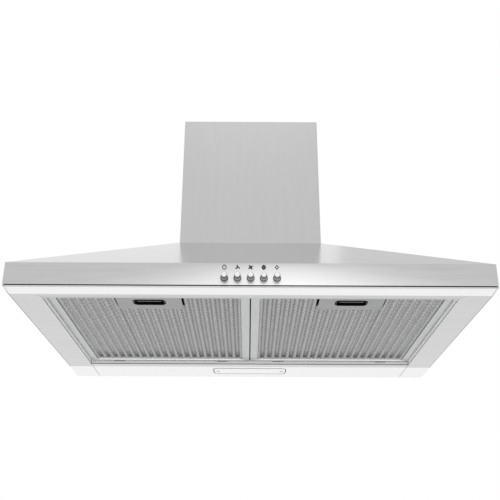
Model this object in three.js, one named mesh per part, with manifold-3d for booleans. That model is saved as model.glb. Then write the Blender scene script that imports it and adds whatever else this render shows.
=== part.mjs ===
// A wall-mounted chimney range hood, built as an assembly. Millimetres, +Z up, the wall at y = 0,
// the front towards -y. The exported group's origin is the middle point between the two hanging
// slots, on the wall. All heights below are counted from the hood's underside plane (z = 0).
import * as THREE from "three";
import { mergeVertices } from "three/addons/utils/BufferGeometryUtils.js";
import Module from "manifold-3d";

const wasm = await Module();
wasm.setup();

// ---- Driving dimensions ------------------------------------------------------------------------
const hoodWidth = 600;
const hoodDepth = 450;
const sheet = 1; // stainless sheet of canopy, underside and chimney
const gap = 0.3; // clearance between pieces that rest on each other
const backSheet = 1.2; // galvanised back panel

// Keyhole slots in the back panel
const hangHeight = 120; // from the underside to the line of the hanging slots
const slotSpread = 90; // from the centre line to each slot
const slotRadius = 6;
const slotWidth = 7;
const slotRise = 14; // the narrow part's centre above the round part's

// Canopy
const lipDepth = 28; // front lip, rising a little towards the front
const lipRise = 1.5;
const shadowGap = 1.2; // dark line between fascia and underside
const fasciaHeight = 28.5;
const slopeRise = 136;
const canopyFlange = 12; // the canopy's sheet turned in round its top and its back
const rimRise = 10; // the underside's upturned rim, above the fascia's lower edge

// Chimney
const chimneyWidth = 225;
const chimneyDepth = 200;
const chimneyHeight = 227;
const chimneyReturn = 22; // flanges turned in along the wall
const collarLedge = 1; // the canopy's top stands out this much round the chimney
const upperClearance = 0.8; // between the two chimney sections
const upperTopDrop = 2; // the upper section's top, below the lower section's, when pushed in
const ventCount = 6;
const ventWidth = 3.4;
const ventPitch = 12;
const ventHeight = 44;
const ventTop = 34; // below the upper section's top
const bracketHeight = 18;
const bracketSheet = 2;
const bracketEar = 32;
const bracketDrop = 6; // below the upper section's top
const padRoom = 4.7; // from the chimney's flanges to the bracket's wall pad
const wallScrewSpread = 50; // from the centre line to each of the bracket's wall screws
const wallScrewRadius = 2.5;
const coverScrewRadius = 2;
const coverScrewHead = 3.8;
const coverScrewHeadHeight = 2.2;
const coverScrewFromWall = 60;

// Filter recess and filters
const sideBand = 39; // underside left and right of the recess
const recessFront = 39; // from the fascia plane
const recessRear = 86.4; // from the wall
const recessCorner = 12;
const filterThickness = 9;
const filterRaise = 5; // filters sit this much above the underside plane
const filterGap = 1.6; // between the two filters
const filterSideGap = 1.2; // from the recess's side walls
const filterFrontGap = 2.6;
const filterRearGap = 2;
const filterSideBar = 11.5;
const filterEndBar = 15;
const filterCorner = 10;
const ribCount = 21;
const meshSheet = 1.2;
const meshGrip = 4; // how far the mesh reaches into the frame's groove
const meshTopDrop = 1.5; // the mesh's top, below the frame's
const ledgeWidth = 7; // flange turned in over the filters' tops
const tabWidth = 14;
const tabLength = 5.5;
const tabThickness = 1.2;
const tabInset = 45; // from the filter's sides to its rear tabs
const tabSlotRoom = 1.5; // each side of a tab in its slot
const railHalf = 12; // half width of the rail between the filters
const railFlange = 5;

// Handle in each filter
const plateWidth = 84;
const plateDepth = 39;
const plateSheet = 1;
const slitWidth = 1.2;
const slitLength = 29;
const gripWidth = 42;
const gripDepth = 20;
const gripFront = 17.5; // from the filter's front edge
const gripProud = 0.5; // below the filter's face
const gripHeight = 7.2;
const gripWall = 2.4;
const gripRoof = 1.2;
const gripCorner = 6;
const catchSideRoom = 3.1; // each side of the catch in the grip
const catchDepth = 5;
const catchRaise = 0.6; // above the grip's lower edge
const tongueWidth = 12;
const tongueHeight = 1.8;
const tongueRaise = 3.2; // above the filter's face
const tongueLipGap = 0.5; // from the recess's front wall

// Rear panel and lamp
const seamGap = 0.5;
const lampWidth = 121;
const lampDepth = 34.5;
const lampFromWall = 42.4; // centre line of the lamp
const lensSheet = 2;
const lensProud = 0.4; // below the panel's face
const lensFlangeEnd = 4;
const lensFlangeSide = 3;
const housingHeight = 14;
const housingWall = 1.5;
const lampScrewInset = 7;
const lampScrewHead = 2.8;
const lampScrewHeadHeight = 1.3;
const lampScrewSink = 1.2; // depth of the lens's recess for the screw head
const lampBossRadius = 4;
const boardSheet = 1.6;
const boardInset = 6; // from the lamp screws
const boardSideInset = 4;
const driverWidth = 52;
const driverHalfDepth = 12;
const driverTop = 20;
const driverRoom = 12; // from the lamp's end
const screwRadius = 1.6;

// Buttons and switch block
const buttonNames = ["button_off", "button_speed_1", "button_speed_2", "button_speed_3", "button_light"];
const buttonPitch = 16;
const buttonRadius = 4.4;
const buttonEdge = 1.2; // rounding of the button's front edge
const buttonProud = 11.5;
const buttonHeight = 12.8; // axis, above the underside plane
const buttonTravel = 3.5;
const buttonHoleClearance = 0.4;
const stemRadius = 2.3;
const stemLength = 14;
const counterboreRoom = 1.5; // left behind a pressed button
const switchBracketSheet = 1.2;
const switchEndRoom = 12; // block beyond the last button's axis
const bracketEndRoom = 10; // bracket beyond the block
const blockLength = 22;
const blockBottom = 5;
const blockTop = 21;
const switchBracketFoot = 0.5; // bracket below the block
const switchBracketHead = 2; // bracket above the block

// Blower
const wheelRadius = 52;
const wheelWidth = 78;
const wheelDisc = 2;
const wheelRing = 2.5;
const hubRadius = 12;
const hubLength = 16;
const bladeCount = 26;
const bladeChord = 10;
const bladeSheet = 1.1;
const bladeSweep = 0.5; // turn of each blade from the radial line, in radians
const shaftRadius = 4;
const shaftPastHub = 10;
const shaftInMotor = 28;
const nutRadius = 7.5;
const nutLength = 6;
const scrollClearance = 6; // from wheel to scroll at the tongue
const scrollGrowth = 20; // how much the spiral grows to the outlet
const scrollWall = 1.5;
const scrollHalfWidth = 48;
const tongueDegrees = 40; // the scroll's tongue, above the axle's level
const outletFlangeReach = 7;
const outletFlangeSheet = 2;
const inletRoom = 1; // inlet opening, inside the blades
const shaftHoleRadius = 15;
const blowerFromWall = 97;
const blowerHeight = 92;
const motorRadius = 42;
const motorLength = 34;
const motorCapLength = 12;
const motorCapBevel = 7;
const motorPlateRadius = 50;
const motorPlateSheet = 2;
const blowerScrewHead = 3.4;
const blowerScrewHeadHeight = 2;
const blowerScrewReach = 6; // below the outlet's face

// Deck, damper and duct spigot
const deckWall = 12;
const spigotRadius = 60;
const spigotWall = 3;
const spigotHeight = 54;
const spigotFromWall = 105;
const spigotFlange = 8;
const spigotFlangeSheet = 2;
const damperHeight = 10; // pin above the deck
const damperPinRadius = 1.5;
const pinEndReach = 2; // the pin's ends in the spigot's wall
const damperSheet = 1.2;
const flapRoom = 1.5; // from flap to bore
const knuckleRadius = 3;
const knuckleStart = 6; // from the centre line to the first knuckle
const knuckleSpace = 2; // between the two flaps' knuckles
const knuckleEndRoom = 7.5;
const stopWidth = 10;
const stopReach = 3;
const stopSheet = 2;

// Terminal box, gland, capacitor and inner cables
const boxSideRoom = 1.5; // from the outlet's flange
const boxFromDeckSide = 13.2;
const boxFront = 92; // from the wall
const boxRear = 18;
const boxHeight = 30.2;
const boxWall = 2;
const lidSheet = 2;
const glandHole = 8;
const glandBore = 4.6;
const glandNut = 11;
const glandNutHeight = 7;
const glandRise = 12; // above the deck
const glandFromWall = 36;
const capacitorRadius = 15;
const capacitorLength = 60.2;
const capacitorRoom = 4.5; // from the outlet's flange
const capacitorFromWall = 140;
const studRadius = 4;
const studLength = 4;
const cableRadius = 2.8;

// ---- Heights and lines worked out from them -----------------------------------------------------
const half = hoodWidth / 2;
const fasciaBottom = lipRise + sheet + shadowGap;
const fasciaTop = fasciaBottom + fasciaHeight;
const canopyTop = fasciaTop + slopeRise;
const deckBottom = canopyTop + gap;
const deckTop = deckBottom + sheet;
const chimneyTop = canopyTop + chimneyHeight;
const recessHalf = half - sideBand;
const recessFrontY = -hoodDepth + recessFront;
const filterWidth = (2 * recessHalf - filterGap - 2 * filterSideGap) / 2;
const filterTop = filterRaise + filterThickness;
const filterFrontY = recessFrontY + filterFrontGap;
const filterRearY = -recessRear - filterRearGap;
const ledgeBottom = filterTop + gap;
const ledgeTop = ledgeBottom + sheet;
const shellRearY = -backSheet - gap;
const topHalfWidth = chimneyWidth / 2 + collarLedge;
const topFrontY = -chimneyDepth - collarLedge;
const chimneyInnerHalf = chimneyWidth / 2 - sheet;
const deckHalf = chimneyInnerHalf - gap;
const outletTop = deckBottom - gap;

// ---- Solids ---------------------------------------------------------------------------------------
// A closed three.js geometry becomes a solid that can be joined and cut.
function solid(geometry) {
  const bare = geometry.index ? geometry.toNonIndexed() : geometry.clone();
  for (const name of Object.keys(bare.attributes)) {
    if (name !== "position") bare.deleteAttribute(name);
  }
  const merged = mergeVertices(bare, 1e-4);
  return new wasm.Manifold(
    new wasm.Mesh({
      numProp: 3,
      vertProperties: merged.attributes.position.array,
      triVerts: new Uint32Array(merged.index.array),
    }),
  );
}

// The solid's surface as a three.js geometry with flat-shaded faces.
function surface(made) {
  const mesh = made.getMesh();
  const geometry = new THREE.BufferGeometry();
  geometry.setAttribute("position", new THREE.BufferAttribute(mesh.vertProperties, 3));
  geometry.setIndex(new THREE.BufferAttribute(mesh.triVerts, 1));
  const flat = geometry.toNonIndexed();
  flat.computeVertexNormals();
  return flat;
}

// Several solids joined into one.
function joined(solids) {
  return solids.reduce((a, b) => a.add(b));
}

// A block between two corners, given in any order along each axis.
function block(x0, x1, y0, y1, z0, z1) {
  const geometry = new THREE.BoxGeometry(Math.abs(x1 - x0), Math.abs(y1 - y0), Math.abs(z1 - z0));
  geometry.translate((x0 + x1) / 2, (y0 + y1) / 2, (z0 + z1) / 2);
  return solid(geometry);
}

// A closed body through rings of four corners: [left, right, front, rear, height] each.
function loft(rings) {
  const corners = [];
  for (const [x0, x1, y0, y1, z] of rings) corners.push(x0, y0, z, x1, y0, z, x1, y1, z, x0, y1, z);
  const faces = [0, 2, 1, 0, 3, 2];
  const last = (rings.length - 1) * 4;
  for (let ring = 0; ring < last; ring += 4) {
    for (let side = 0; side < 4; side += 1) {
      const a = ring + side;
      const b = ring + ((side + 1) % 4);
      faces.push(a, b, b + 4, a, b + 4, a + 4);
    }
  }
  faces.push(last, last + 1, last + 2, last, last + 2, last + 3);
  const geometry = new THREE.BufferGeometry();
  geometry.setAttribute("position", new THREE.Float32BufferAttribute(corners, 3));
  geometry.setIndex(faces);
  return solid(geometry);
}

// Turns (x, y, z) into (z, x, y), so that an outline drawn flat stands across the hood's width.
const acrossWidth = new THREE.Matrix4().set(0, 0, 1, 0, 1, 0, 0, 0, 0, 1, 0, 0, 0, 0, 0, 1);

// An outline drawn as (u, v) and pushed along one axis. For z it is (x, y), for x it is (y, z).
function pushed(shape, axis, from, to, curveSegments = 8) {
  const options = { depth: to - from, bevelEnabled: false, curveSegments };
  const geometry = new THREE.ExtrudeGeometry(shape, options);
  geometry.translate(0, 0, from);
  if (axis === "x") geometry.applyMatrix4(acrossWidth);
  return solid(geometry);
}

// A round bar along one axis, between two places on it, given in either order.
function bar(axis, radius, from, to, centre, segments = 24) {
  const geometry = new THREE.CylinderGeometry(radius, radius, Math.abs(to - from), segments);
  geometry.translate(0, (from + to) / 2, 0);
  const [u, v] = centre;
  if (axis === "x") {
    geometry.rotateZ(-Math.PI / 2);
    geometry.translate(0, u, v);
  } else if (axis === "y") {
    geometry.translate(u, 0, v);
  } else {
    geometry.rotateX(Math.PI / 2);
    geometry.translate(u, v, 0);
  }
  return solid(geometry);
}

// A body turned about a line along y: profile points are (radius, distance along y).
function turned(profile, centre, segments) {
  const points = profile.map(([r, h]) => new THREE.Vector2(r, h));
  const geometry = new THREE.LatheGeometry(points, segments);
  const [x, z] = centre;
  geometry.translate(x, 0, z);
  return solid(geometry);
}

// A rectangle with round corners, in the order left, right, front, rear.
function roundedShape(x0, x1, y0, y1, radius) {
  const shape = new THREE.Shape();
  shape.moveTo(x0 + radius, y0);
  shape.lineTo(x1 - radius, y0);
  shape.absarc(x1 - radius, y0 + radius, radius, -Math.PI / 2, 0);
  shape.lineTo(x1, y1 - radius);
  shape.absarc(x1 - radius, y1 - radius, radius, 0, Math.PI / 2);
  shape.lineTo(x0 + radius, y1);
  shape.absarc(x0 + radius, y1 - radius, radius, Math.PI / 2, Math.PI);
  shape.lineTo(x0, y0 + radius);
  shape.absarc(x0 + radius, y0 + radius, radius, Math.PI, Math.PI * 1.5);
  return shape;
}

// A straight-sided outline through points.
function outline(points) {
  return new THREE.Shape(points.map(([u, v]) => new THREE.Vector2(u, v)));
}

// A round cable along a smooth line through points.
function cable(points, steps) {
  const ring = new THREE.Shape();
  ring.absarc(0, 0, cableRadius, 0, Math.PI * 2);
  const path = new THREE.CatmullRomCurve3(points.map(([x, y, z]) => new THREE.Vector3(x, y, z)));
  return solid(new THREE.ExtrudeGeometry(ring, { steps, extrudePath: path, curveSegments: 4 }));
}

// ---- Finishes -------------------------------------------------------------------------------------
const finishes = {
  stainless: { color: 0xc4c4c3, metalness: 1, roughness: 0.32 },
  underside: { color: 0xdadada, metalness: 0.6, roughness: 0.4 },
  zinc: { color: 0xa9adb0, metalness: 0.9, roughness: 0.5 },
  aluminium: { color: 0xc2c6ca, metalness: 1, roughness: 0.4 },
  mesh: { color: 0x9a9c9e, metalness: 0.9, roughness: 0.5 },
  chrome: { color: 0xe6e6e6, metalness: 1, roughness: 0.12 },
  black: { color: 0x151515, metalness: 0, roughness: 0.35 },
  darkPlastic: { color: 0x3a3b3d, metalness: 0, roughness: 0.55 },
  white: { color: 0xf2f3f3, metalness: 0, roughness: 0.3 },
  board: { color: 0xe9ece6, metalness: 0, roughness: 0.6 },
  cable: { color: 0x6e7072, metalness: 0, roughness: 0.5 },
};

const hood = new THREE.Group();
hood.name = "chimney_range_hood";
hood.position.z = -hangHeight;

// One named piece with its own material.
function add(name, made, finish) {
  const mesh = new THREE.Mesh(surface(made), new THREE.MeshStandardMaterial(finishes[finish]));
  mesh.name = name;
  hood.add(mesh);
}

const sides = [
  ["left", -1],
  ["right", 1],
];

// ---- Canopy shell -----------------------------------------------------------------------------------
const frontAngle = Math.atan2(slopeRise, hoodDepth + topFrontY);
const sideAngle = Math.atan2(slopeRise, half - topHalfWidth);
const innerFold = fasciaTop - sheet * Math.tan(sideAngle / 2);
const innerTopX = topHalfWidth - sheet / Math.sin(sideAngle);
const innerTopY = topFrontY + sheet / Math.sin(frontAngle);
const canopyOuter = loft([
  [-half, half, -hoodDepth, shellRearY, fasciaBottom],
  [-half, half, -hoodDepth, shellRearY, fasciaTop],
  [-topHalfWidth, topHalfWidth, topFrontY, shellRearY, canopyTop],
]);
const canopyInner = loft([
  [-half + sheet, half - sheet, -hoodDepth + sheet, shellRearY - sheet, fasciaBottom - sheet],
  [-half + sheet, half - sheet, -hoodDepth + sheet, shellRearY - sheet, innerFold],
  [-innerTopX, innerTopX, innerTopY, shellRearY - sheet, canopyTop],
]);
const topSheet = block(-half, half, -hoodDepth, 0, canopyTop - sheet, canopyTop + sheet);
// The sheet is turned in round the back, where the back panel is welded on, and round the top.
const flangeX = topHalfWidth - canopyFlange;
const backHoleFrontY = shellRearY - 2 * sheet;
const backHole = loft([
  [-half + canopyFlange, half - canopyFlange, backHoleFrontY, sheet, fasciaBottom - sheet],
  [-half + canopyFlange, half - canopyFlange, backHoleFrontY, sheet, fasciaTop - canopyFlange / 2],
  [-flangeX, flangeX, backHoleFrontY, sheet, canopyTop - canopyFlange],
]);
const topHole = block(
  -flangeX,
  flangeX,
  topFrontY + canopyFlange,
  shellRearY - canopyFlange,
  canopyTop - 2 * sheet,
  canopyTop + sheet,
);
const buttonX = buttonNames.map((_, i) => (i - (buttonNames.length - 1) / 2) * buttonPitch);
function buttonHoles(frontY, rearY) {
  const radius = buttonRadius + buttonHoleClearance;
  return joined(buttonX.map((x) => bar("y", radius, frontY, rearY, [x, buttonHeight], 20)));
}
add(
  "canopy_shell",
  canopyOuter
    .subtract(canopyInner.subtract(topSheet))
    .subtract(backHole)
    .subtract(topHole)
    .subtract(buttonHoles(-hoodDepth - sheet, -hoodDepth + 2 * sheet)),
  "stainless",
);

// ---- Back panel with keyhole slots ------------------------------------------------------------------
function keyhole(x) {
  const roundZ = hangHeight - slotRise;
  const cutFrontY = -backSheet - gap;
  return bar("y", slotRadius, cutFrontY, gap, [x, roundZ])
    .add(block(x - slotWidth / 2, x + slotWidth / 2, cutFrontY, gap, roundZ, hangHeight))
    .add(bar("y", slotWidth / 2, cutFrontY, gap, [x, hangHeight]));
}
const backPlate = loft([
  [-half, half, -backSheet, 0, fasciaBottom],
  [-half, half, -backSheet, 0, fasciaTop],
  [-topHalfWidth, topHalfWidth, -backSheet, 0, canopyTop],
]);
add("back_panel", backPlate.subtract(keyhole(-slotSpread)).subtract(keyhole(slotSpread)), "zinc");

// ---- Underside frame: front lip and side bands, folded up inside the canopy ------------------------
const lipEdgeY = -hoodDepth + gap;
const frameSide = half - gap;
const frameProfile = outline([
  [lipEdgeY, lipRise],
  [lipEdgeY + lipDepth, 0],
  [shellRearY, 0],
  [shellRearY, sheet],
  [lipEdgeY + lipDepth, sheet],
  [lipEdgeY, lipRise + sheet],
]);
const cornerY = recessFrontY + recessCorner;
const recessPlan = new THREE.Shape();
recessPlan.moveTo(-recessHalf + recessCorner, recessFrontY);
recessPlan.lineTo(recessHalf - recessCorner, recessFrontY);
recessPlan.absarc(recessHalf - recessCorner, cornerY, recessCorner, -Math.PI / 2, 0);
recessPlan.lineTo(recessHalf, sheet);
recessPlan.lineTo(-recessHalf, sheet);
recessPlan.absarc(-recessHalf + recessCorner, cornerY, recessCorner, Math.PI, Math.PI * 1.5);
const recess = pushed(recessPlan, "z", -sheet, ledgeTop + 2 * sheet);
const wallOuterPlan = roundedShape(
  -recessHalf - sheet,
  recessHalf + sheet,
  recessFrontY - sheet,
  shellRearY + recessCorner,
  recessCorner + sheet,
);
const ledgeOpening = block(
  -recessHalf + ledgeWidth,
  recessHalf - ledgeWidth,
  recessFrontY + ledgeWidth,
  sheet,
  ledgeBottom - sheet,
  ledgeTop + sheet,
);
const behindFrame = block(-half, half, shellRearY, 4 * recessCorner, -sheet, ledgeTop + 2 * sheet);
const overPanel = block(-half, half, -recessRear, hoodDepth, 0, ledgeTop + sheet);
const recessWall = pushed(wallOuterPlan, "z", 0, ledgeTop).subtract(recess).subtract(behindFrame);
const ledge = pushed(wallOuterPlan, "z", ledgeBottom, ledgeTop).subtract(ledgeOpening).subtract(overPanel);
const rimOuter = half - sheet - gap;
const rimTop = fasciaBottom + rimRise;
const rimFrontY = -hoodDepth + sheet + gap;
const rimRearY = shellRearY - sheet - gap;
const rim = block(-rimOuter, rimOuter, rimFrontY, rimRearY, sheet / 2, rimTop).subtract(
  block(-rimOuter + sheet, rimOuter - sheet, rimFrontY + sheet, sheet, 0, rimTop + sheet),
);
const blockHalf = buttonX[buttonX.length - 1] + switchEndRoom;
const notchHalf = blockHalf + switchEndRoom; // the lip's rim is cut away for the switch block
const rimNotch = block(-notchHalf, notchHalf, -hoodDepth, rimFrontY + 2 * sheet, fasciaBottom, rimTop + sheet);
add(
  "underside_frame",
  pushed(frameProfile, "x", -frameSide, frameSide)
    .subtract(recess)
    .add(recessWall)
    .add(ledge)
    .add(rim.subtract(rimNotch)),
  "underside",
);

// ---- Rear lamp panel: folded tray between the two seams ---------------------------------------------
const panelHalf = recessHalf - seamGap;
const panelFrontY = -recessRear;
const filterCentres = { left: -(filterGap + filterWidth) / 2, right: (filterGap + filterWidth) / 2 };
const tabOffset = filterWidth / 2 - tabInset;
const tabHalf = tabWidth / 2;
const tabPlaces = Object.values(filterCentres).flatMap((centre) => [centre - tabOffset, centre + tabOffset]);
const tabSlots = tabPlaces.map((x) =>
  block(
    x - tabHalf - tabSlotRoom,
    x + tabHalf + tabSlotRoom,
    panelFrontY - sheet,
    panelFrontY + 2 * sheet,
    filterRaise - gap,
    filterRaise + tabLength + 2 * tabThickness,
  ),
);
const lampHalf = lampWidth / 2;
const lampFrontY = -lampFromWall - lampDepth / 2;
const lampRearY = -lampFromWall + lampDepth / 2;
const lampCorner = lampDepth / 4;
const lampHole = pushed(
  roundedShape(-lampHalf - gap, lampHalf + gap, lampFrontY - gap, lampRearY + gap, lampCorner),
  "z",
  -sheet,
  2 * sheet,
);
const trayHollow = block(
  -panelHalf + sheet,
  panelHalf - sheet,
  panelFrontY + sheet,
  shellRearY - sheet,
  sheet,
  ledgeTop + sheet,
);
add(
  "lamp_panel",
  block(-panelHalf, panelHalf, panelFrontY, shellRearY, 0, ledgeTop)
    .subtract(trayHollow)
    .subtract(lampHole)
    .subtract(joined(tabSlots)),
  "underside",
);

// ---- Lamp: housing, board, lens, its screws and the driver -------------------------------------------
const lensBottom = -lensProud;
const lensFlangeBottom = sheet + gap;
const lensTop = lensFlangeBottom + lensSheet;
const lampScrewX = lampHalf - lampScrewInset;
const lampScrewPlaces = sides.map(([, direction]) => [direction * lampScrewX, -lampFromWall]);
const lensPlan = roundedShape(-lampHalf, lampHalf, lampFrontY, lampRearY, lampCorner);
const lensFlangePlan = roundedShape(
  -lampHalf - lensFlangeEnd,
  lampHalf + lensFlangeEnd,
  lampFrontY - lensFlangeSide,
  lampRearY + lensFlangeSide,
  lampCorner,
);
const lensHoles = lampScrewPlaces.map((place) =>
  bar("z", screwRadius + gap, lensBottom - 1, lensTop + 1, place, 16).add(
    bar("z", lampScrewHead + gap, lensBottom - 1, lensBottom + lampScrewSink, place, 16),
  ),
);
add(
  "lamp_lens",
  pushed(lensPlan, "z", lensBottom, lensTop, 5)
    .add(pushed(lensFlangePlan, "z", lensFlangeBottom, lensTop, 5))
    .subtract(joined(lensHoles)),
  "white",
);
const housingBottom = lensTop + gap;
const housingTop = housingBottom + housingHeight;
const lampScrewTop = housingTop - 2 * housingWall;
function lampBoss(place) {
  return bar("z", lampBossRadius, housingBottom, housingTop - housingWall / 2, place, 16).subtract(
    bar("z", screwRadius + gap, housingBottom - 1, lampScrewTop, place, 16),
  );
}
const housingHollow = pushed(lensPlan, "z", housingBottom - 1, housingTop - housingWall, 5);
add(
  "lamp_housing",
  pushed(lensFlangePlan, "z", housingBottom, housingTop, 5)
    .subtract(housingHollow)
    .add(joined(lampScrewPlaces.map(lampBoss))),
  "board",
);
const boardTop = housingTop - housingWall - gap;
add(
  "led_board",
  block(
    -lampScrewX + boardInset,
    lampScrewX - boardInset,
    lampFrontY + boardSideInset,
    lampRearY - boardSideInset,
    boardTop - boardSheet,
    boardTop,
  ),
  "board",
);
sides.forEach(([side], i) => {
  const headBottom = lensBottom - lensProud;
  const head = bar("z", lampScrewHead, headBottom, headBottom + lampScrewHeadHeight, lampScrewPlaces[i], 16);
  const stem = bar("z", screwRadius, lensBottom, lampScrewTop - gap, lampScrewPlaces[i], 16);
  add("lamp_screw_" + side, head.add(stem), "zinc");
});
const driverX = lampHalf + driverRoom;
add(
  "led_driver",
  block(
    driverX,
    driverX + driverWidth,
    -lampFromWall - driverHalfDepth,
    -lampFromWall + driverHalfDepth,
    sheet + gap,
    driverTop,
  ),
  "board",
);

// ---- Centre rail that both filters seat against -------------------------------------------------------
const railFrontY = recessFrontY + gap + ledgeWidth;
const railRearY = panelFrontY - gap;
add(
  "centre_rail",
  block(-railHalf, railHalf, railFrontY, railRearY, ledgeBottom, ledgeTop)
    .add(block(-railHalf, -railHalf + sheet, railFrontY, railRearY, ledgeBottom, ledgeTop + railFlange))
    .add(block(railHalf - sheet, railHalf, railFrontY, railRearY, ledgeBottom, ledgeTop + railFlange)),
  "zinc",
);

// ---- Switch block, bracket and buttons ---------------------------------------------------------------
const bracketHalf = blockHalf + bracketEndRoom;
const bracketFrontY = -hoodDepth + sheet + gap;
const bracketRearY = bracketFrontY + switchBracketSheet;
const blockFrontY = bracketRearY + gap;
const blockRearY = blockFrontY + blockLength;
add(
  "switch_bracket",
  block(
    -bracketHalf,
    bracketHalf,
    bracketFrontY,
    bracketRearY,
    blockBottom - switchBracketFoot,
    blockTop + switchBracketHead,
  ).subtract(buttonHoles(bracketFrontY - 1, bracketRearY + 1)),
  "zinc",
);
const counterboreRearY = blockFrontY + buttonTravel + counterboreRoom;
const stemHoleRearY = blockFrontY + stemLength + buttonTravel;
const stemHoles = buttonX.map((x) =>
  bar("y", stemRadius + gap, blockFrontY, stemHoleRearY, [x, buttonHeight], 12),
);
add(
  "switch_block",
  block(-blockHalf, blockHalf, blockFrontY, blockRearY, blockBottom, blockTop)
    .subtract(buttonHoles(blockFrontY - 1, counterboreRearY))
    .subtract(joined(stemHoles)),
  "darkPlastic",
);
const capFrontY = -hoodDepth - buttonProud;
const capRearY = blockFrontY - gap;
const stemRearY = capRearY + stemLength;
const edgeFacet = buttonEdge * 0.3; // the round edge in two flats
const buttonProfile = [
  [0, capFrontY],
  [buttonRadius - buttonEdge, capFrontY],
  [buttonRadius - edgeFacet, capFrontY + edgeFacet],
  [buttonRadius, capFrontY + buttonEdge],
  [buttonRadius, capRearY],
  [stemRadius, capRearY],
  [stemRadius, stemRearY],
  [0, stemRearY],
];
buttonNames.forEach((name, i) => {
  add(name, turned(buttonProfile, [buttonX[i], buttonHeight], 20), "chrome");
});

// ---- Grease filters -------------------------------------------------------------------------------------
// One sheet folded into ribs from front to rear: shares of a pitch give the flats and the flanks.
function ribbedMesh(x0, x1, y0, y1) {
  const low = filterRaise + plateSheet + gap;
  const high = filterTop - meshTopDrop - meshSheet;
  const pitch = (x1 - x0) / ribCount;
  const lower = [];
  for (let rib = 0; rib < ribCount; rib += 1) {
    const x = x0 + rib * pitch;
    lower.push([x, high], [x + pitch * 0.15, high]);
    lower.push([x + pitch * 0.4, low], [x + pitch * 0.65, low], [x + pitch * 0.9, high]);
  }
  lower.push([x1, high]);
  const upper = lower.map(([x, z]) => [x, z + meshSheet]).reverse();
  const options = { depth: y1 - y0, bevelEnabled: false };
  const geometry = new THREE.ExtrudeGeometry(outline([...lower, ...upper]), options);
  geometry.rotateX(Math.PI / 2);
  geometry.translate(0, y1, 0);
  return solid(geometry);
}

for (const [side, centre] of Object.entries(filterCentres)) {
  const x0 = centre - filterWidth / 2;
  const x1 = centre + filterWidth / 2;
  const innerX0 = x0 + filterSideBar;
  const innerX1 = x1 - filterSideBar;
  const innerY0 = filterFrontY + filterEndBar;
  const innerY1 = filterRearY - filterEndBar;
  const gripX0 = centre - gripWidth / 2;
  const gripX1 = centre + gripWidth / 2;
  const gripFrontY = filterFrontY + gripFront;
  const gripRearY = gripFrontY + gripDepth;
  const gripBottom = filterRaise - gripProud;
  const gripTop = gripBottom + gripHeight;
  const tongueBottom = filterRaise + tongueRaise;

  const tongueSlot = block(
    centre - tongueWidth / 2 - gap,
    centre + tongueWidth / 2 + gap,
    filterFrontY - 1,
    gripFrontY + gripWall + 1,
    tongueBottom - gap,
    tongueBottom + tongueHeight + gap,
  );
  const groove = block(
    innerX0 - meshGrip - gap,
    innerX1 + meshGrip + gap,
    innerY0 - meshGrip - gap,
    innerY1 + meshGrip + gap,
    filterRaise + plateSheet,
    filterTop - plateSheet,
  );
  const tabs = [centre - tabOffset, centre + tabOffset].map((x) =>
    block(
      x - tabHalf,
      x + tabHalf,
      filterRearY - tabThickness,
      filterRearY + tabLength,
      filterRaise,
      filterRaise + tabThickness,
    ),
  );
  const filterPlan = roundedShape(x0, x1, filterFrontY, filterRearY, filterCorner);
  add(
    "filter_frame_" + side,
    pushed(filterPlan, "z", filterRaise, filterTop, 5)
      .subtract(block(innerX0, innerX1, innerY0, innerY1, filterRaise - 1, filterTop + 1))
      .subtract(groove)
      .subtract(tongueSlot)
      .add(joined(tabs)),
    "aluminium",
  );

  const net = ribbedMesh(innerX0 - meshGrip, innerX1 + meshGrip, innerY0 - meshGrip, innerY1 + meshGrip);
  const gripRoomCut = block(gripX0 - 1, gripX1 + 1, filterFrontY, gripRearY + 1, filterRaise, filterTop);
  const slitCuts = [centre - plateWidth / 2 - slitWidth, centre + plateWidth / 2].map((x) =>
    block(x, x + slitWidth, innerY0, innerY0 + slitLength, filterRaise, filterTop),
  );
  add("filter_mesh_" + side, net.subtract(gripRoomCut).subtract(joined(slitCuts)), "mesh");

  const gripOutline = roundedShape(gripX0, gripX1, gripFrontY, gripRearY, gripCorner);
  const gripOpening = roundedShape(gripX0 - gap, gripX1 + gap, gripFrontY - gap, gripRearY + gap, gripCorner);
  add(
    "handle_plate_" + side,
    block(
      centre - plateWidth / 2,
      centre + plateWidth / 2,
      innerY0 + gap,
      innerY0 + plateDepth,
      filterRaise,
      filterRaise + plateSheet,
    ).subtract(pushed(gripOpening, "z", filterRaise - 1, filterTop, 5)),
    "aluminium",
  );

  const pocketPlan = roundedShape(
    gripX0 + gripWall,
    gripX1 - gripWall,
    gripFrontY + gripWall,
    gripRearY - gripWall,
    gripCorner - gripRoof,
  );
  add(
    "filter_grip_" + side,
    pushed(gripOutline, "z", gripBottom, gripTop, 5)
      .subtract(pushed(pocketPlan, "z", gripBottom - 1, gripTop - gripRoof, 5))
      .subtract(tongueSlot),
    "black",
  );

  const catchHalf = gripWidth / 2 - gripWall - catchSideRoom;
  const catchFrontY = gripFrontY + gripWall + gap;
  const catchBlock = block(
    centre - catchHalf,
    centre + catchHalf,
    catchFrontY,
    catchFrontY + catchDepth,
    gripBottom + catchRaise,
    gripTop - gripRoof - gap,
  );
  const tongue = block(
    centre - tongueWidth / 2,
    centre + tongueWidth / 2,
    recessFrontY + tongueLipGap,
    catchFrontY + 1,
    tongueBottom,
    tongueBottom + tongueHeight,
  );
  add("filter_catch_" + side, catchBlock.add(tongue), "black");
}

// ---- Blower outlet: where the scroll meets the deck -------------------------------------------------
const blowerY = -blowerFromWall;
const tongueAngle = (tongueDegrees * Math.PI) / 180;
const spiralSweep = tongueAngle + Math.PI;
const spiralSteps = 26;
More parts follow.
